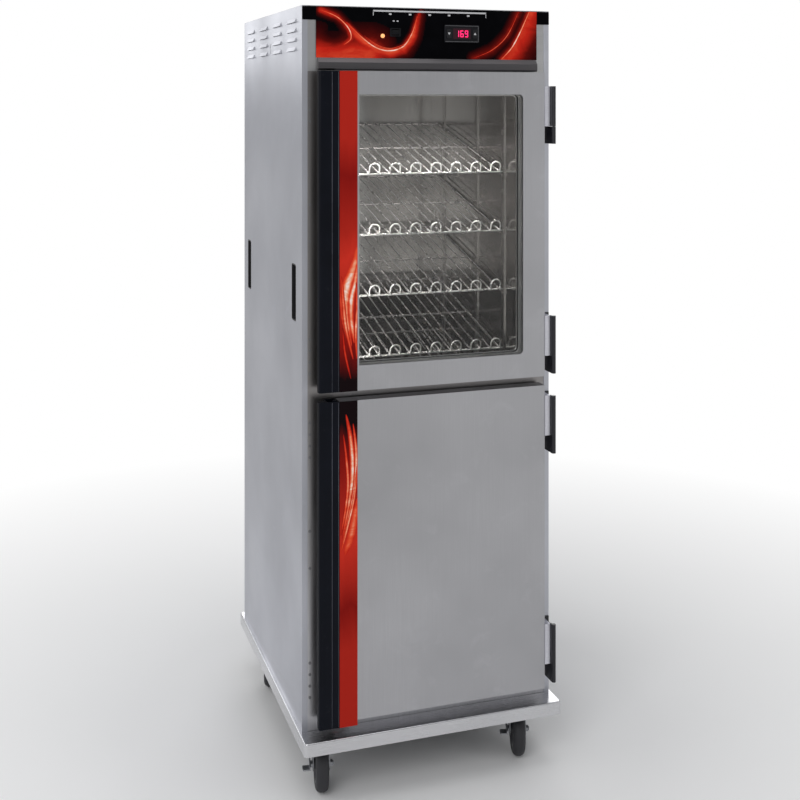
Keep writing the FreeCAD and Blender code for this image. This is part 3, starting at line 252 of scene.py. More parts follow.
def printed_black(name):
    """The glossy black film of the control panel."""
    finish = Finish(name)
    cloud = finish.noise(finish.place, 30.0, 5.0)
    finish.set("Base Color", finish.mix(cloud, (0.0008, 0.0008, 0.0012, 1), (0.0025, 0.0025, 0.0035, 1)))
    finish.set("Roughness", finish.spread(cloud, 0.16, 0.28))
    finish.shader.inputs["Specular IOR Level"].default_value = film_specular
    finish.bump(finish.noise(finish.place, 700.0, 2.0), film_grain, 0.3)
    return finish.material


heat_stops = (
    (0.00, (0.0015, 0.0012, 0.002, 1)),
    (0.22, (0.10, 0.004, 0.003, 1)),
    (0.50, (0.58, 0.020, 0.010, 1)),
    (0.72, (0.85, 0.09, 0.035, 1)),
    (0.88, (0.95, 0.36, 0.20, 1)),
    (1.00, (1.0, 0.82, 0.74, 1)),
)


def printed_heat(name):
    """Printed glow: black through red and orange to white, by the heat stored on each point."""
    finish = Finish(name)
    heat = finish.attribute("print_tone")
    drift = finish.noise(finish.stretched((14, 1, 22), (0, 0.6, 0)), 1.4, 4.0, 0.6, 1.2)
    warm = finish.math("MULTIPLY", heat, finish.spread(drift, 0.82, 1.1))
    finish.set("Base Color", finish.ramp(warm, heat_stops))
    finish.shader.inputs["Specular IOR Level"].default_value = film_specular
    finish.set("Roughness", finish.spread(drift, 0.16, 0.28))
    finish.bump(finish.noise(finish.place, 700.0, 2.0), film_grain, 0.3)
    return finish.material


def accent_finish(name, bottom, top, stops):
    """The red decor film: its tone follows a ramp from the strip's top to its bottom, bent by slow noise."""
    finish = Finish(name)
    drift = finish.noise(finish.stretched((26, 1, 4), (0, 0.25, 0)), 1.0, 3.0, 0.5, 0.8)
    height = finish.remap(finish.axis("Z"), top, bottom)
    bent = finish.math("ADD", height, finish.spread(drift, -0.02, 0.02))
    finish.set("Base Color", finish.ramp(bent, stops))
    finish.shader.inputs["Specular IOR Level"].default_value = film_specular
    finish.set("Roughness", finish.spread(drift, 0.2, 0.3))
    finish.bump(finish.noise(finish.place, 800.0, 2.0), film_grain, 0.25)
    return finish.material


def hinge_finish(name, metal, barrel, edge):
    """Satin plates whose turned barrel, beyond an x place, is painted black as a dark reflection on its
    polished metal.
    """
    finish = Finish(name)
    streak = finish.noise(finish.stretched((60, 60, 1200)), 1.0, 3.0, 0.7)
    cloud = finish.noise(finish.place, 22.0, 4.0)
    # Painted reflection: beyond this x place the barrel is painted black and not metallic, in place of the
    # dark reflection on polished metal.
    black = finish.math("GREATER_THAN", finish.axis("X"), edge)
    plate = finish.mix(finish.spread(streak), shade(metal, 0.9), shade(metal, 1.08))
    finish.set("Base Color", finish.mix(black, plate, shade(barrel, 1.0)))
    finish.set("Roughness", finish.spread(cloud, 0.3, 0.42))
    finish.set("Metallic", finish.math("SUBTRACT", 1.0, black))
    finish.bump(streak, brushing_depth, 0.3)
    return finish.material


def wire_finish(name, bright, painted_shade_colour, front_y, fade):
    """Plated wire with painted light: bright along the shelf's front edge where the light falls, and darkened
    by painted shade behind it.
    """
    finish = Finish(name)
    cloud = finish.noise(finish.place, 40.0, 4.0, 0.6)
    spots = finish.noise(finish.place, 300.0, 3.0)
    # Painted light: over the fade depth behind the shelf's front, the colour goes from the lit front tone to
    # the painted shade tone.
    depth = finish.remap(finish.axis("Y"), front_y, front_y + fade)
    tone = finish.mix(depth, shade(bright, 1.0), shade(painted_shade_colour, 1.0))
    finish.set("Base Color", finish.mix(finish.remap(spots, 0.4, 0.8, 0.0, 0.6), tone, shade(painted_shade_colour, 0.8)))
    finish.set("Roughness", finish.spread(cloud, 0.22, 0.36))
    finish.set("Metallic", 0.85)
    finish.bump(cloud, 0.00003, 0.3)
    return finish.material


def lit(name, colour, strength):
    """A glowing plastic or segment, its tone and glow varied a little by fine noise."""
    finish = Finish(name)
    cloud = finish.noise(finish.place, 240.0, 3.0)
    finish.set("Base Color", finish.mix(cloud, shade(colour, 0.7), shade(colour, 1.0)))
    finish.set("Emission Color", finish.mix(cloud, shade(colour, 0.85), shade(colour, 1.0)))
    finish.shader.inputs["Emission Strength"].default_value = strength
    finish.set("Roughness", finish.spread(cloud, 0.2, 0.35))
    return finish.material


shell_steel = brushed("shell_steel", (0.55, 0.56, 0.61), vertical_grain, 0.36)
top_steel = brushed("top_steel", (0.50, 0.505, 0.53), level_grain, 0.38)
# The frame's two colours are painted light: painted shade above and a painted floor reflection below.
front_steel = stile_painted_light_finish("front_steel", (0.30, 0.285, 0.28), (0.72, 0.72, 0.75), 0.15, 1.05)
door_steel = brushed("door_steel", (0.51, 0.51, 0.53), vertical_grain, 0.36, 0.06)
liner_steel = brushed("liner_steel", (0.66, 0.63, 0.61), vertical_grain, 0.16, 0.12)
header_steel = brushed("header_steel", (0.50, 0.50, 0.50), level_grain, 0.34)
visor_steel = brushed("visor_steel", (0.12, 0.115, 0.12), level_grain, 0.36)
bumper_alloy = brushed("bumper_alloy", (0.72, 0.72, 0.74), level_grain, 0.24)
pan_steel = brushed("pan_steel", (0.12, 0.12, 0.125), level_grain, 0.5)
rack_steel = brushed("rack_steel", (0.55, 0.52, 0.50), vertical_grain, 0.24)
zinc_steel = brushed("zinc_steel", (0.36, 0.37, 0.39), (200, 200, 200), 0.38, 0.2)
screw_steel = brushed("screw_steel", (0.30, 0.30, 0.31), (700, 700, 700), 0.35, 0.25)
fan_alloy = brushed("fan_alloy", (0.65, 0.65, 0.66), (500, 500, 500), 0.34)
sheath_steel = brushed("sheath_steel", (0.24, 0.20, 0.17), (300, 300, 300), 0.45, 0.25)
pull_black = moulded("pull_black", (0.004, 0.005, 0.009), 0.34, 1400.0, 0.00002, 0.10)
case_black = moulded("case_black", (0.007, 0.007, 0.009), 0.38, 1800.0, 0.00003, 0.15)
key_rubber = moulded("key_rubber", (0.012, 0.012, 0.014), 0.5, 2200.0, 0.00003, 0.2)
grip_black = moulded("grip_black", (0.012, 0.012, 0.014), 0.42, 900.0, 0.00005)
seal_rubber = moulded("seal_rubber", (0.03, 0.03, 0.032), 0.62, 1500.0, 0.00005)
tyre_rubber = moulded("tyre_rubber", (0.022, 0.022, 0.026), 0.6, 1300.0, 0.00008)
hub_plastic = moulded("hub_plastic", (0.05, 0.05, 0.055), 0.45, 1500.0, 0.00004)
inlet_black = moulded("inlet_black", (0.015, 0.015, 0.016), 0.3, 1500.0, 0.00003)
motor_paint = moulded("motor_paint", (0.05, 0.05, 0.055), 0.4, 700.0, 0.00005)
terminal_cream = moulded("terminal_cream", (0.62, 0.57, 0.45), 0.45, 1200.0, 0.00004)
wool = moulded("wool", (0.55, 0.48, 0.28), 0.95, 320.0, 0.0012)
foam = moulded("foam", (0.70, 0.62, 0.38), 0.9, 500.0, 0.0006)
# A painted highlight: the grey of the slim beads in the pull's grooves stands for light caught at the groove
# edges.
groove_highlight_grey = moulded("groove_highlight_grey", (0.075, 0.08, 0.10), 0.30, 1400.0, 0.00002, 0.4)
pane_glass = glass_finish("pane_glass")
film_black = printed_black("film_black")
film_heat = printed_heat("film_heat")
film_silver = brushed("film_silver", (0.62, 0.62, 0.64), (400, 400, 400), 0.45, 0.1, 0.3)
film_grey = brushed("film_grey", (0.16, 0.16, 0.17), (400, 400, 400), 0.5, 0.1, 0.2)
display_lens = moulded("display_lens", (0.03, 0.002, 0.008), 0.12, 2500.0, 0.000005)
digit_light = lit("digit_light", (1.0, 0.02, 0.16), 1.3)
lamp_light = lit("lamp_light", (1.0, 0.42, 0.16), 0.9)

red_plain = (0.43, 0.020, 0.012, 1)
red_deep = (0.24, 0.008, 0.006, 1)
red_bright = (0.62, 0.032, 0.018, 1)
near_black = (0.008, 0.004, 0.005, 1)
upper_stops = (
    (0.00, red_plain), (0.22, red_plain), (0.33, red_deep), (0.50, red_plain), (0.58, red_bright),
    (0.72, red_plain), (0.84, red_deep), (0.95, near_black), (1.00, near_black),
)
lower_stops = (
    (0.00, near_black), (0.07, near_black), (0.18, red_deep), (0.34, red_plain), (0.45, red_bright),
    (0.56, red_plain), (0.64, red_deep), (0.76, red_plain), (1.00, red_plain),
)
strip_low, strip_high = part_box("door_upper_accent")
accent_upper = accent_finish("accent_upper", strip_low.z, strip_high.z, upper_stops)
strip_low, strip_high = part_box("door_lower_accent")
accent_lower = accent_finish("accent_lower", strip_low.z, strip_high.z, lower_stops)
# How far behind the shelf's front the painted light fades into painted shade.
lit_front_depth = 45 * MM
shelf_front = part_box("shelves_upper")[0].y + 6 * MM
wire_chrome = wire_finish("wire_chrome", (0.80, 0.79, 0.78), (0.20, 0.19, 0.19), shelf_front, lit_front_depth)
barrel_from_right = 16.5 * MM
barrel_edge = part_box("hinge_frame_leaves")[1].x - barrel_from_right
# The barrel's near-black colour is a painted dark reflection.
hinge_metal = hinge_finish("hinge_metal", (0.72, 0.72, 0.78), (0.006, 0.006, 0.010), barrel_edge)


finish_of_node = {
    "top_panel": top_steel,
    "back_panel": shell_steel,
    "power_inlet": inlet_black,
    "base_chassis": pan_steel,
    "bumpers": bumper_alloy,
    "liner_panels": liner_steel,
    "air_baffle": liner_steel,
    "insulation_boards": wool,
    "frame_stiles": front_steel,
    "frame_rails": front_steel,
    "frame_screws": screw_steel,
    "racks": rack_steel,
    "blower_motor": motor_paint,
    "fan_wheel": fan_alloy,
    "heating_element": sheath_steel,
    "control_panel": header_steel,
    "control_overlay": film_black,
    "drip_visor": visor_steel,
    "controller_body": case_black,
    "controller_display": display_lens,
    "key_up": key_rubber,
    "key_down": key_rubber,
    "switch_housing": case_black,
    "power_rocker": case_black,
    "indicator_lamp": lamp_light,
    "terminal_block": terminal_cream,
    "hinge_frame_leaves": hinge_metal,
    "door_upper_accent": accent_upper,
    "door_lower_accent": accent_lower,
    "caster_mounts": zinc_steel,
}
finish_by_ending = {
    "_panes": pane_glass,
    "_spacer": fan_alloy,
    "_skin": door_steel,
    "_inner_panel": liner_steel,
    "_core": foam,
    "_pull": pull_black,
    "_gasket": seal_rubber,
    "_hinges": hinge_metal,
}
finish_by_start = {
    "side_panel": shell_steel,
    "hand_grips": grip_black,
    "shelves": wire_chrome,
    "caster_fork": zinc_steel,
    "caster_wheel": tyre_rubber,
    "brake_pedal": zinc_steel,
}


def material_for(node):
    """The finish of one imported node, by its name."""
    if node in finish_of_node:
        return finish_of_node[node]
    for ending, material in finish_by_ending.items():
        if node.endswith(ending):
            return material
    for start, material in finish_by_start.items():
        if node.startswith(start):
            return material
    raise ValueError("no finish for " + node)


def paint_nodes():
    for name, packed in frame["nodes"].items():
        material = material_for(name)
        packed.data.materials.clear()
        packed.data.materials.append(material)


# ---- mesh helpers ------------------------------------------------------------------------------------------
def piece(name, bm, material, body, smooth=True):
    """A named object from a bmesh, with its finish, riding on a body."""
    mesh = bpy.data.meshes.new(name)
    bm.normal_update()
    bm.to_mesh(mesh)
    bm.free()
    mesh.materials.append(material)
    for face in mesh.polygons:
        face.use_smooth = smooth
    made = bpy.data.objects.new(name, mesh)
    bpy.context.scene.collection.objects.link(made)
    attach(made, body)
    return made


def lathe(bm, profile, place, segments=64):
    """Turn (radius, along) points round the x axis of a placement matrix."""
    rings = []
    for radius, along in profile:
        ring = []
        for step in range(segments):
            angle = 2 * math.pi * step / segments
            point = Vector((along, radius * math.cos(angle), radius * math.sin(angle)))
            ring.append(bm.verts.new(place @ point))
        rings.append(ring)
    for first, second in zip(rings, rings[1:] + rings[:1]):
        for step in range(segments):
            after = (step + 1) % segments
            bm.faces.new((first[step], first[after], second[after], second[step]))


def catmull(points, steps):
    """A smooth line through a few points."""
    padded = [points[0]] + list(points) + [points[-1]]
    line = []
    for index in range(len(points) - 1):
        a, b, c, d = padded[index:index + 4]
        for step in range(steps):
            t = step / steps
            line.append(tuple(
                0.5 * (2 * b[k] + (c[k] - a[k]) * t + (2 * a[k] - 5 * b[k] + 4 * c[k] - d[k]) * t * t
                       + (3 * b[k] - a[k] - 3 * c[k] + d[k]) * t * t * t)
                for k in range(2)
            ))
    line.append(tuple(points[-1]))
    return line


def ribbon(bm, layer, points, width, y, heat, limits, steps=14, across=6):
    """A tapered printed stroke on the plane y. heat is (edge, middle) values; limits clip it to a panel."""
    line = catmull(points, steps)
    rows = []
    count = len(line)
    for index, (x, z) in enumerate(line):
        before = line[max(0, index - 1)]
        after = line[min(count - 1, index + 1)]
        along = Vector((after[0] - before[0], after[1] - before[1])).normalized()
        normal = Vector((-along.y, along.x))
        taper = math.sin(math.pi * (index + 0.35) / (count + 0.7)) ** 0.6
        row = []
        for step in range(across + 1):
            share = 2 * step / across - 1
            offset = normal * (share * width * taper / 2)
            px = min(max(x + offset.x, limits[0]), limits[1])
            pz = min(max(z + offset.y, limits[2]), limits[3])
            vert = bm.verts.new((px, y, pz))
            vert[layer] = heat[0] + (heat[1] - heat[0]) * (1 - share * share) ** 1.5 * taper
            row.append(vert)
        rows.append(row)
    for first, second in zip(rows, rows[1:]):
        for step in range(across):
            corners = (first[step], first[step + 1], second[step + 1], second[step])
            area = abs((corners[1].co - corners[0].co).cross(corners[3].co - corners[0].co).length)
            if area > 1e-10:
                bm.faces.new(corners)


def drop_loose(bm):
    """Delete points that carry no face."""
    loose = [vert for vert in bm.verts if not vert.link_faces]
    bmesh.ops.delete(bm, geom=loose, context="VERTS")


# ---- control header ----------------------------------------------------------------------------------------
overlay_low, overlay_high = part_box("control_overlay")
visor_low, visor_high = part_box("drip_visor")
print_left = visor_low.x - 3 * MM
print_right = visor_high.x + 3 * MM
print_bottom = overlay_low.z
print_top = overlay_high.z
print_y = overlay_low.y


def on_panel(u, v):
    """A place on the printed panel, from shares of its width and height."""
    return (print_left + u * (print_right - print_left), print_bottom + v * (print_top - print_bottom))


def near_segment(point, line):
    """Distance to a line and the side of it that the point is on."""
    best = (1e9, 1.0)
    for first, second in zip(line, line[1:]):
        a = Vector(first)
        b = Vector(second)
        along = b - a
        t = max(0.0, min(1.0, (point - a).dot(along) / max(along.length_squared, 1e-12)))
        gap = point - (a + along * t)
        side = 1.0 if along.x * gap.y - along.y * gap.x > 0 else -1.0
        if gap.length < best[0]:
            best = (gap.length, side)
    return best


left_sweep = [on_panel(*p) for p in ((0.02, 0.93), (0.09, 0.80), (0.14, 0.58), (0.15, 0.38), (0.12, 0.26))]
main_sweep = [on_panel(*p) for p in (
    (0.14, 0.66), (0.20, 0.40), (0.26, 0.21), (0.32, 0.15), (0.38, 0.24), (0.42, 0.50), (0.445, 0.86))]
right_sweep = [on_panel(*p) for p in ((0.83, 0.0), (0.88, 0.24), (0.92, 0.56), (0.965, 1.0))]
thin_sweep = [on_panel(*p) for p in ((0.70, 0.02), (0.79, 0.20), (0.86, 0.50), (0.915, 1.0))]


def falloff(gap, peak, width):
    """Heat at some distance from a stroke: its peak on the stroke, fading over a width."""
    return peak * math.exp(-((gap / width) ** 2))


def glow(x, z):
    """Heat of the printed glow at a place on the panel."""
    point = Vector((x, z))
    u = (x - print_left) / (print_right - print_left)
    v = (z - print_bottom) / (print_top - print_bottom)
    gap, side = near_segment(point, main_sweep)
    below = falloff(gap, 0.72, 0.020) if side < 0 else falloff(gap, 0.45, 0.006)
    fade = 1.0 - max(0.0, min(1.0, (u - 0.43) / 0.06))
    heat = below * fade
    if u < 0.36:
        floor_glow = falloff(v - 0.05, 0.62, 0.38) * (1 - max(0.0, u - 0.24) / 0.12)
        heat = max(heat, floor_glow)
    heat = max(heat, falloff(near_segment(point, left_sweep)[0], 0.55, 0.010))
    hole = math.exp(-(((u - 0.075) / 0.055) ** 2 + ((v - 0.50) / 0.22) ** 2))
    heat *= 1 - 0.8 * min(1.0, hole * 1.2)
    gap, side = near_segment(point, right_sweep)
    beside = falloff(gap, 0.60, 0.045) if side < 0 else falloff(gap, 0.40, 0.010)
    heat = max(heat, beside)
    return max(heat, falloff(near_segment(point, thin_sweep)[0], 0.30, 0.012))


glow_grid = (196, 42)
print_lift = 0.06 * MM
faintest_heat = 0.03


def panel_graphic():
    """The printed glow as a fine sheet on the film, and the bright strokes over it."""
    bm = bmesh.new()
    layer = bm.verts.layers.float.new("print_tone")
    columns = glow_grid[0]
    rows = glow_grid[1]
    y = print_y - print_lift
    grid = []
    for i in range(columns + 1):
        line = []
        for j in range(rows + 1):
            x, z = on_panel(i / columns, j / rows)
            vert = bm.verts.new((x, y, z))
            vert[layer] = glow(x, z)
            line.append(vert)
        grid.append(line)
    for i in range(columns):
        for j in range(rows):
            corners = (grid[i][j], grid[i + 1][j], grid[i + 1][j + 1], grid[i][j + 1])
            if max(corner[layer] for corner in corners) > faintest_heat:
                bm.faces.new(corners)
    drop_loose(bm)
    limits = (print_left, print_right, print_bottom, print_top)
    top_y = print_y - 2 * print_lift
    strokes = (
        (left_sweep, 4.0, (0.55, 1.0)),
        (main_sweep, 5.0, (0.6, 1.05)),
        (right_sweep, 4.6, (0.6, 1.08)),
        (thin_sweep, 2.6, (0.3, 0.86)),
    )
    for points, width, heat in strokes:
        ribbon(bm, layer, points, width * MM, top_y, heat, limits)
    for shift in (0.10, 0.20):
        points = [(x + 0.004, z + shift * 0.03) for x, z in main_sweep[1:5]]
        ribbon(bm, layer, points, 2.0 * MM, top_y - 0.02 * MM, (0.45, 0.8), limits)
    piece("panel_glow", bm, film_heat, "cabinet")


def flat_bar(bm, x0, x1, z0, z1, y, depth=0.05 * MM):
    """A thin printed bar with soft corners."""
    corner = min(x1 - x0, z1 - z0) * 0.25
    outline = []
    for cx, cz, start in (
        (x1 - corner, z1 - corner, 0), (x0 + corner, z1 - corner, 90),
        (x0 + corner, z0 + corner, 180), (x1 - corner, z0 + corner, 270),
    ):
        for step in range(4):
            angle = math.radians(start + 30 * step)
            outline.append((cx + corner * math.cos(angle), cz + corner * math.sin(angle)))
    front = [bm.verts.new((x, y - depth, z)) for x, z in outline]
    back = [bm.verts.new((x, y, z)) for x, z in outline]
    bm.faces.new(front)
    bm.faces.new(list(reversed(back)))
    count = len(outline)
    for step in range(count):
        after = (step + 1) % count
        bm.faces.new((front[after], front[step], back[step], back[after]))


skin_gap = 0.02 * MM
bracket_ends = (-149 * MM, 153 * MM)
bracket_half_height = 2.0 * MM
bracket_leg = (1.6 * MM, 12 * MM)
mark_count = 5
mark_first_x = -104 * MM
mark_pitch = 52 * MM
mark_half_width = 3.5 * MM
dot_places = (-95 * MM, -85 * MM)
dot_half_width = 2.5 * MM


def panel_marks():
    """A bracket line with five short marks under it and two dots over the switch."""
    bm = bmesh.new()
    y = print_y - skin_gap
    left, right = bracket_ends
    leg_width, leg_height = bracket_leg
    line_z = overlay_high.z - 7.5 * MM
    flat_bar(bm, left, right, line_z - bracket_half_height, line_z + bracket_half_height, y)
    for x in (left, right - leg_width):
        flat_bar(bm, x, x + leg_width, line_z - leg_height, line_z, y)
    for index in range(mark_count):
        x = mark_first_x + mark_pitch * index
        flat_bar(bm, x - mark_half_width, x + mark_half_width, line_z - 9.5 * MM, line_z - 5.5 * MM, y)
    for x in dot_places:
        flat_bar(bm, x - dot_half_width, x + dot_half_width, line_z - 26 * MM, line_z - 23 * MM, y)
    piece("panel_marks", bm, film_silver, "cabinet", False)


digit_half_width = 4.4 * MM
digit_half_height = 8.4 * MM
digit_pitch = 12.2 * MM
segment_thickness = 2.1 * MM
segment_gap = 0.5 * MM
digit_shapes = ("bc", "afgecd", "afbgcd")


def segment_digit(bm, centre_x, centre_z, y, shape):
    """One seven-segment numeral: shape names the lit bars."""
    half_w = digit_half_width
    half_h = digit_half_height
    thick = segment_thickness
    gap = segment_gap
    bars = {
        "a": (-half_w + gap, half_w - gap, half_h - thick, half_h),
        "g": (-half_w + gap, half_w - gap, -thick / 2, thick / 2),
        "d": (-half_w + gap, half_w - gap, -half_h, -half_h + thick),
        "f": (-half_w, -half_w + thick, gap, half_h - gap),
        "b": (half_w - thick, half_w, gap, half_h - gap),
        "e": (-half_w, -half_w + thick, -half_h + gap, -gap),
        "c": (half_w - thick, half_w, -half_h + gap, -gap),
    }
    for name in shape:
        x0, x1, z0, z1 = bars[name]
        flat_bar(bm, centre_x + x0, centre_x + x1, centre_z + z0, centre_z + z1, y, 0.15 * MM)


def display_digits():
    """Three lit numerals on the display lens."""
    low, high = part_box("controller_display")
    centre = (low + high) / 2
    bm = bmesh.new()
    for index, shape in enumerate(digit_shapes):
        segment_digit(bm, centre.x + (index - 1) * digit_pitch, centre.z, low.y - skin_gap, shape)
    piece("display_digits", bm, digit_light, "cabinet", False)


key_mark_size = 3.6 * MM
key_mark_depth = 0.15 * MM


def key_marks():
    """A raised triangle on each key."""
    for name, way in (("key_up", 1), ("key_down", -1)):
        low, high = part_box(name)
        centre = (low + high) / 2
        bm = bmesh.new()
        size = key_mark_size
        y = low.y - skin_gap
        outline = [(-size, -way * size * 0.7), (size, -way * size * 0.7), (0, way * size)]
        if way < 0:
            outline.reverse()
        front = [bm.verts.new((centre.x + x, y - key_mark_depth, centre.z + z)) for x, z in outline]
        back = [bm.verts.new((centre.x + x, y, centre.z + z)) for x, z in outline]
        bm.faces.new(front)
        bm.faces.new(list(reversed(back)))
        for step in range(3):
            after = (step + 1) % 3
            bm.faces.new((front[after], front[step], back[step], back[after]))
        bmesh.ops.recalc_face_normals(bm, faces=bm.faces)
        piece(name + "_mark", bm, film_silver, name, False)


outline_inset = 2.2 * MM
outline_width = 0.9 * MM


def controller_outline():
    """A thin printed line round the top, right and bottom of the thermostat's bezel."""
    low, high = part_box("controller_body")
    bm = bmesh.new()
    y = low.y - skin_gap
    inset = outline_inset
    line = outline_width
    left = low.x + inset
    right = high.x - inset
    bottom = low.z + inset
    top = high.z - inset
    flat_bar(bm, left, right, top - line, top, y)
    flat_bar(bm, left, right, bottom, bottom + line, y)
    flat_bar(bm, right - line, right, bottom, top, y)
    piece("controller_outline", bm, film_grey, "cabinet", False)


# ---- decor strips ------------------------------------------------------------------------------------------
def strip_strokes(door, strokes):
    """Printed strands on a door's decor strip. Each stroke is shares of the strip's width and height."""
    low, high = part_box(door + "_accent")
    bm = bmesh.new()
    layer = bm.verts.layers.float.new("print_tone")
    limits = (low.x, high.x, low.z, high.z)
    for order, (points, width, heat) in enumerate(strokes):
        places = [(low.x + u * (high.x - low.x), high.z - v * (high.z - low.z)) for u, v in points]
        y = low.y - (0.05 + 0.03 * order) * MM
        ribbon(bm, layer, places, width * MM, y, heat, limits, 18)
    drop_loose(bm)
    piece(door + "_strands", bm, film_heat, door)


upper_strokes = (
    (((1.0, 0.55), (0.80, 0.61), (0.48, 0.66), (0.30, 0.71), (0.36, 0.78), (0.62, 0.86)), 27, (0.55, 1.02)),
    (((1.0, 0.60), (0.86, 0.66), (0.66, 0.71), (0.64, 0.77), (0.82, 0.85)), 15, (0.55, 1.05)),
    (((0.10, 0.64), (0.20, 0.72), (0.35, 0.80), (0.75, 0.90)), 10, (0.35, 0.90)),
    (((0.92, 0.66), (0.97, 0.74), (0.90, 0.82), (0.97, 0.90)), 9, (0.3, 0.92)),
    (((0.15, 0.80), (0.30, 0.88), (0.62, 0.96)), 7, (0.2, 0.6)),
)
lower_strokes = (
    (((0.35, 0.04), (0.62, 0.12), (0.72, 0.22), (0.50, 0.32), (0.16, 0.42)), 15, (0.35, 0.98)),
    (((0.75, 0.07), (0.92, 0.16), (0.86, 0.26), (0.55, 0.35), (0.12, 0.44)), 11, (0.4, 1.02)),
    (((0.20, 0.10), (0.38, 0.18), (0.46, 0.26), (0.30, 0.34), (0.06, 0.41)), 9, (0.3, 0.88)),
    (((0.96, 0.20), (0.80, 0.30), (0.42, 0.39), (0.08, 0.46)), 7, (0.45, 0.96)),
    (((1.0, 0.30), (0.70, 0.40), (0.30, 0.47)), 18, (0.55, 0.80)),
)


# ---- doors -------------------------------------------------------------------------------------------------
seal_corner = 12 * MM
seal_inner_corner = 3 * MM
corner_steps = 7


def frame_ring(low, high, inset, y):
    """Points round a rectangle with round corners, drawn in from a gasket's outline."""
    corner = max(seal_inner_corner, seal_corner - inset * 0.45)
    x0 = low.x + inset + corner
    x1 = high.x - inset - corner
    z0 = low.z + inset + corner
    z1 = high.z - inset - corner
    ring = []
    for cx, cz, start in ((x1, z1, 0), (x0, z1, 90), (x0, z0, 180), (x1, z0, 270)):
        for step in range(corner_steps):
            angle = math.radians(start + 90 / (corner_steps - 1) * step)
            ring.append(Vector((cx + corner * math.cos(angle), y, cz + corner * math.sin(angle))))
    return ring


# The seal's section: millimetres in from its outer edge, and share of its depth from the door.
bellows = (
    (0.6, 0.00), (0.6, 0.22), (2.6, 0.32), (0.8, 0.46), (0.0, 0.70), (1.4, 1.00), (6.2, 0.94), (7.8, 0.94),
    (12.6, 1.00), (14.0, 0.70), (13.2, 0.46), (11.4, 0.32), (13.4, 0.22), (13.4, 0.00),
)


def ribbed_gasket(door):
    """A magnetic seal with a fold down each side and a groove along its face."""
    node = door + "_gasket"
    low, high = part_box(node)
    bm = bmesh.new()
    rings = []
    for inset, share in bellows:
        points = frame_ring(low, high, inset * MM, low.y + share * (high.y - low.y))
        rings.append([bm.verts.new(point) for point in points])
    count = len(rings[0])
    for first, second in zip(rings, rings[1:] + rings[:1]):
        for step in range(count):
            after = (step + 1) % count
            bm.faces.new((first[step], second[step], second[after], first[after]))
    bmesh.ops.recalc_face_normals(bm, faces=bm.faces)
    made = piece(door + "_seal", bm, seal_rubber, door, False)
    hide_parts(node)


# The beads in the pull's grooves are a painted highlight.
bead_radius = 0.85 * MM
bead_sink = 0.9 * MM
bead_places = (32.9 * MM, 48.9 * MM)
bead_end_gap = 2 * MM
bead_steps = 8


def bead_ring(bm, x, y, z):
    """The half circle at one end of a bead."""
    ring = []
    for step in range(bead_steps + 1):
        angle = math.radians(180 + 180 / bead_steps * step)
        ring.append(bm.verts.new((x + bead_radius * math.cos(angle), y + bead_radius * math.sin(angle), z)))
    return ring


def pull_groove_highlights(door):
    """Two slim grey beads that lie in the grooves of a door's pull: a painted highlight for the light along
    the groove edges.
    """
    low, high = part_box(door + "_pull")
    bm = bmesh.new()
    for from_left in bead_places:
        x = low.x + from_left
        bottom = bead_ring(bm, x, low.y + bead_sink, low.z + bead_end_gap)
        top = bead_ring(bm, x, low.y + bead_sink, high.z - bead_end_gap)
        for step in range(bead_steps):
            bm.faces.new((bottom[step], bottom[step + 1], top[step + 1], top[step]))
        bm.faces.new((bottom[-1], bottom[0], top[0], top[-1]))
        bm.faces.new(list(reversed(bottom)))
        bm.faces.new(top)
    bmesh.ops.recalc_face_normals(bm, faces=bm.faces)
    piece(door + "_groove_highlights", bm, groove_highlight_grey, door)


spacer_wall = 8.5 * MM
dot_pitch = 12.5 * MM
dot_half_depth = 1.6 * MM
dot_half_height = 3.84 * MM
dot_lift = 0.08 * MM


def spacer_perforations():
    """The row of punched dots down the two upright runs of the glazing spacer."""
    low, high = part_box("door_upper_spacer")
    wall = spacer_wall
    middle = (low.y + high.y) / 2
    bm = bmesh.new()
    count = int((high.z - low.z - 4 * wall) / dot_pitch)
    for index in range(count):
        z = low.z + 2 * wall + dot_pitch * index
        for x, way in ((high.x - wall, -1), (low.x + wall, 1)):
            corners = [
                bm.verts.new((x + way * dot_lift, middle + dy * dot_half_depth, z + dz * dot_half_height))
                for dy, dz in ((-1, -1), (1, -1), (1, 1), (-1, 1))
            ]
            bm.faces.new(corners if way < 0 else list(reversed(corners)))
    piece("spacer_dots", bm, film_silver, "door_upper", False)


screw_margin = 14 * MM
upright_count = 9
level_count = 4
pan_head = (
    (0.3 * MM, 0.05 * MM), (4.2 * MM, 0.05 * MM), (3.8 * MM, 1.4 * MM), (2.0 * MM, 2.2 * MM),
    (0.3 * MM, 2.3 * MM),
)


def back_screws():
    """Low pan heads round the edge of the back sheet."""
    low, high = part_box("back_panel")
    margin = screw_margin
    places = []
    for index in range(upright_count):
        z = low.z + margin + (high.z - low.z - 2 * margin) * index / (upright_count - 1)
        places.extend([(low.x + margin, z), (high.x - margin, z)])
    for index in range(1, level_count):
        x = low.x + margin + (high.x - low.x - 2 * margin) * index / level_count
        places.extend([(x, low.z + margin), (x, high.z - margin)])
    bm = bmesh.new()
    outward = Matrix.Rotation(math.radians(90), 4, "Z")
    for x, z in places:
        head = Matrix.Translation((x, high.y, z)) @ outward
        lathe(bm, pan_head, head, 20)
    bmesh.ops.recalc_face_normals(bm, faces=bm.faces)
    piece("back_screws", bm, screw_steel, "cabinet")


# ---- casters -----------------------------------------------------------------------------------------------
def joint_named(name):
    return [joint for joint in frame["joints"] if joint["name"] == name][0]


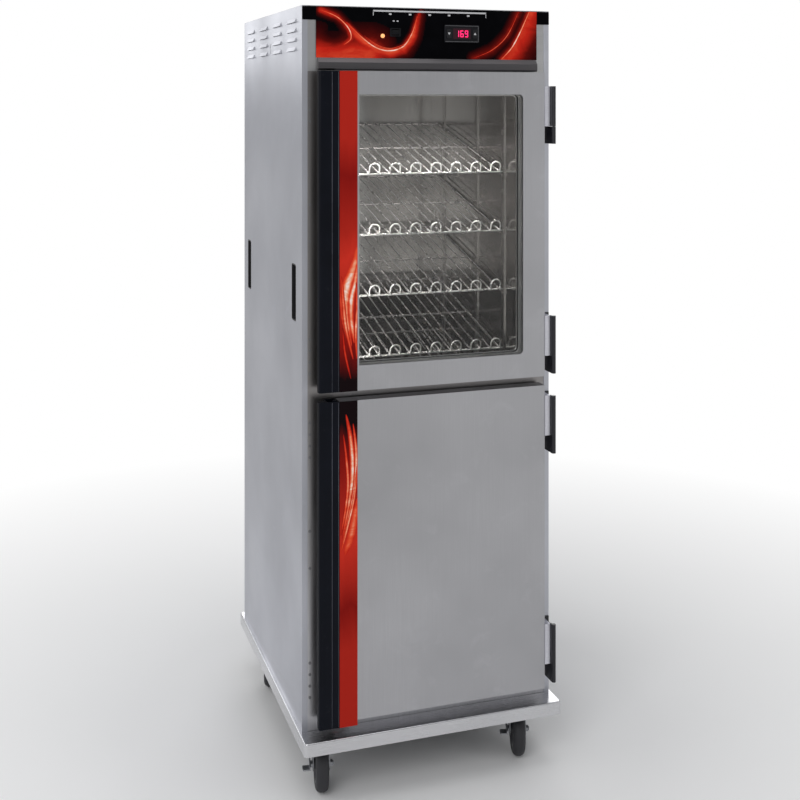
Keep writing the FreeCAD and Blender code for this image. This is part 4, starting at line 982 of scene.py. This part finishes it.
def wheel_placement(corner):
    """Matrix that puts the x axis along a caster's axle, at the middle of its wheel."""
    joint = joint_named("wheel_spin_" + corner)
    axle = Vector(joint["axis"]).normalized()
    centre = Vector(joint["pos_m"])
    up = Vector((0, 0, 1))
    side = up.cross(axle).normalized()
    turn = Matrix((axle, side, up)).transposed().to_4x4()
    return Matrix.Translation(centre) @ turn


tyre_half = 16 * MM
tyre_crown = 13 * MM
tyre_bore = 44 * MM
crown_steps = 8

# Half of the hub's section, from its bore to the middle of its rim, as (radius, distance from the middle).
hub_half = (
    (5.1 * MM, 18.2 * MM), (11.4 * MM, 18.2 * MM), (12 * MM, 17.6 * MM), (12.4 * MM, 9.5 * MM),
    (34 * MM, 9.5 * MM), (37 * MM, 12 * MM), (38 * MM, 15.4 * MM), (43.2 * MM, 15.4 * MM),
    (43.9 * MM, 14.8 * MM),
)


def tyre_profile(radius):
    """The tyre's section on one side and then, mirrored, on the other."""
    profile = [(tyre_bore, -tyre_half)]
    for step in range(crown_steps + 1):
        angle = math.radians(90 * step / crown_steps)
        across = -tyre_half + tyre_crown - tyre_crown * math.cos(angle)
        profile.append((radius - tyre_crown + tyre_crown * math.sin(angle), across))
    return profile + [(out, -across) for out, across in reversed(profile)]


def wheel(corner):
    """A crowned tyre and a dished hub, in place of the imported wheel."""
    low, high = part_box("caster_wheel_" + corner)
    place = wheel_placement(corner)
    tyre = bmesh.new()
    lathe(tyre, tyre_profile((high.z - low.z) / 2), place, 72)
    rubber = piece("tyre_" + corner, tyre, tyre_rubber, "wheel_" + corner)
    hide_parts("caster_wheel_" + corner)

    hub = bmesh.new()
    left = [(out, -across) for out, across in hub_half]
    lathe(hub, left + list(reversed(hub_half)), place, 56)
    piece("hub_" + corner, hub, hub_plastic, "wheel_" + corner)


# ---- stage -------------------------------------------------------------------------------------------------
floor_glow_on_metal = 0.62
floor_radius = 60.0
white_from = 0.7
white_to = 2.6


def pale_floor():
    """A pale floor that brightens to the studio's white a few metres out."""
    finish = Finish("pale_floor")
    cloud = finish.noise(finish.place, 1.3, 3.0)
    finish.set("Base Color", finish.mix(cloud, (0.86, 0.86, 0.86, 1), (0.90, 0.90, 0.90, 1)))
    finish.set("Roughness", finish.spread(cloud, 0.75, 0.9))
    nodes = finish.tree.nodes
    across = finish.math("POWER", finish.axis("X"), 2.0)
    along = finish.math("POWER", finish.axis("Y"), 2.0)
    reach = finish.math("SQRT", finish.math("ADD", across, along))
    white = nodes.new("ShaderNodeEmission")
    white.inputs["Color"].default_value = (1.0, 1.0, 1.0, 1.0)
    path = nodes.new("ShaderNodeLightPath")
    strength = finish.remap(path.outputs["Is Camera Ray"], 0.0, 1.0, floor_glow_on_metal, 1.0)
    finish.feed(strength, white.inputs["Strength"])
    blend = nodes.new("ShaderNodeMixShader")
    finish.feed(finish.remap(reach, white_from, white_to), blend.inputs[0])
    finish.tree.links.new(finish.shader.outputs[0], blend.inputs[1])
    finish.tree.links.new(white.outputs[0], blend.inputs[2])
    finish.tree.links.new(blend.outputs[0], nodes["Material Output"].inputs["Surface"])
    bm = bmesh.new()
    bmesh.ops.create_circle(bm, cap_ends=True, segments=96, radius=floor_radius)
    mesh = bpy.data.meshes.new("floor")
    bm.to_mesh(mesh)
    bm.free()
    mesh.materials.append(finish.material)
    floor = bpy.data.objects.new("floor", mesh)
    bpy.context.scene.collection.objects.link(floor)


def area_light(name, place, target, size, power, tint=(1, 1, 1), seen=True):
    data = bpy.data.lights.new(name, "AREA")
    data.shape = "RECTANGLE"
    data.size = size[0]
    data.size_y = size[1]
    data.energy = power
    data.color = tint
    lamp = bpy.data.objects.new(name, data)
    lamp.location = place
    lamp.rotation_euler = (Vector(target) - Vector(place)).to_track_quat("-Z", "Y").to_euler()
    lamp.visible_camera = False
    lamp.visible_glossy = seen
    bpy.context.scene.collection.objects.link(lamp)


world_tint = (0.78, 0.79, 0.81, 1)
world_strength = 0.42
warm = (1.0, 0.96, 0.92)


def studio():
    world = bpy.data.worlds.new("studio")
    bpy.context.scene.world = world
    world.use_nodes = True
    tree = world.node_tree
    background = tree.nodes["Background"]
    background.inputs["Color"].default_value = world_tint
    background.inputs["Strength"].default_value = world_strength
    sky = tree.nodes.new("ShaderNodeBackground")
    sky.inputs["Color"].default_value = (1.0, 1.0, 1.0, 1)
    sky.inputs["Strength"].default_value = 1.0
    path = tree.nodes.new("ShaderNodeLightPath")
    blend = tree.nodes.new("ShaderNodeMixShader")
    tree.links.new(path.outputs["Is Camera Ray"], blend.inputs[0])
    tree.links.new(background.outputs[0], blend.inputs[1])
    tree.links.new(sky.outputs[0], blend.inputs[2])
    tree.links.new(blend.outputs[0], tree.nodes["World Output"].inputs["Surface"])

    middle = Vector((0, 0, 1.0))
    area_light("key", (-2.6, -3.6, 3.4), middle, (2.6, 2.6), 78)
    area_light("side", (-4.4, 0.4, 2.3), middle + Vector((0, 0, 0.5)), (2.6, 4.8), 30)
    area_light("back_left", (-1.8, 4.6, 3.0), (-0.33, 0.0, 1.9), (2.8, 2.2), 27)
    area_light("fill", (3.2, -3.4, 1.6), middle, (1.6, 3.2), 14)
    area_light("top", (0, -0.6, 4.6), middle, (3.0, 3.0), 38)
    area_light("back", (1.5, 4.2, 2.6), middle, (2.6, 2.6), 45)
    liner_low, liner_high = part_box("liner_panels")
    inside = (liner_low + liner_high) / 2
    area_light(
        "inside_top", (inside.x, liner_low.y + 0.03, liner_high.z - 0.06),
        (inside.x, liner_high.y, inside.z + 0.1), (0.44, 0.06), 22.0, warm, False,
    )
    area_light(
        "inside_left", (liner_low.x + 0.02, liner_low.y + 0.05, liner_high.z - 0.45),
        (liner_high.x, liner_high.y, liner_high.z - 0.45), (0.05, 0.7), 12.0, warm, False,
    )


camera_lens = 54.84
camera_shift = -0.3715
camera_place = (-1.0398, -3.222, 1.6926)
camera_turn = -18.46


def camera():
    """The photograph's viewpoint: level, in front and to the left, with the frame shifted down."""
    data = bpy.data.cameras.new("camera")
    data.lens = camera_lens
    data.sensor_width = 36.0
    data.shift_y = camera_shift
    eye = bpy.data.objects.new("camera", data)
    eye.location = camera_place
    eye.rotation_euler = (math.radians(90), 0, math.radians(camera_turn))
    bpy.context.scene.collection.objects.link(eye)
    bpy.context.scene.camera = eye


paint_nodes()
camera()
studio()
pale_floor()
panel_graphic()
panel_marks()
display_digits()
key_marks()
controller_outline()
ribbed_gasket("door_upper")
ribbed_gasket("door_lower")
pull_groove_highlights("door_upper")
pull_groove_highlights("door_lower")
spacer_perforations()
back_screws()
strip_strokes("door_upper", upper_strokes)
strip_strokes("door_lower", lower_strokes)
for corner in ("front_left", "front_right", "back_left", "back_right"):
    wheel(corner)

bpy.context.scene.view_settings.view_transform = "Standard"
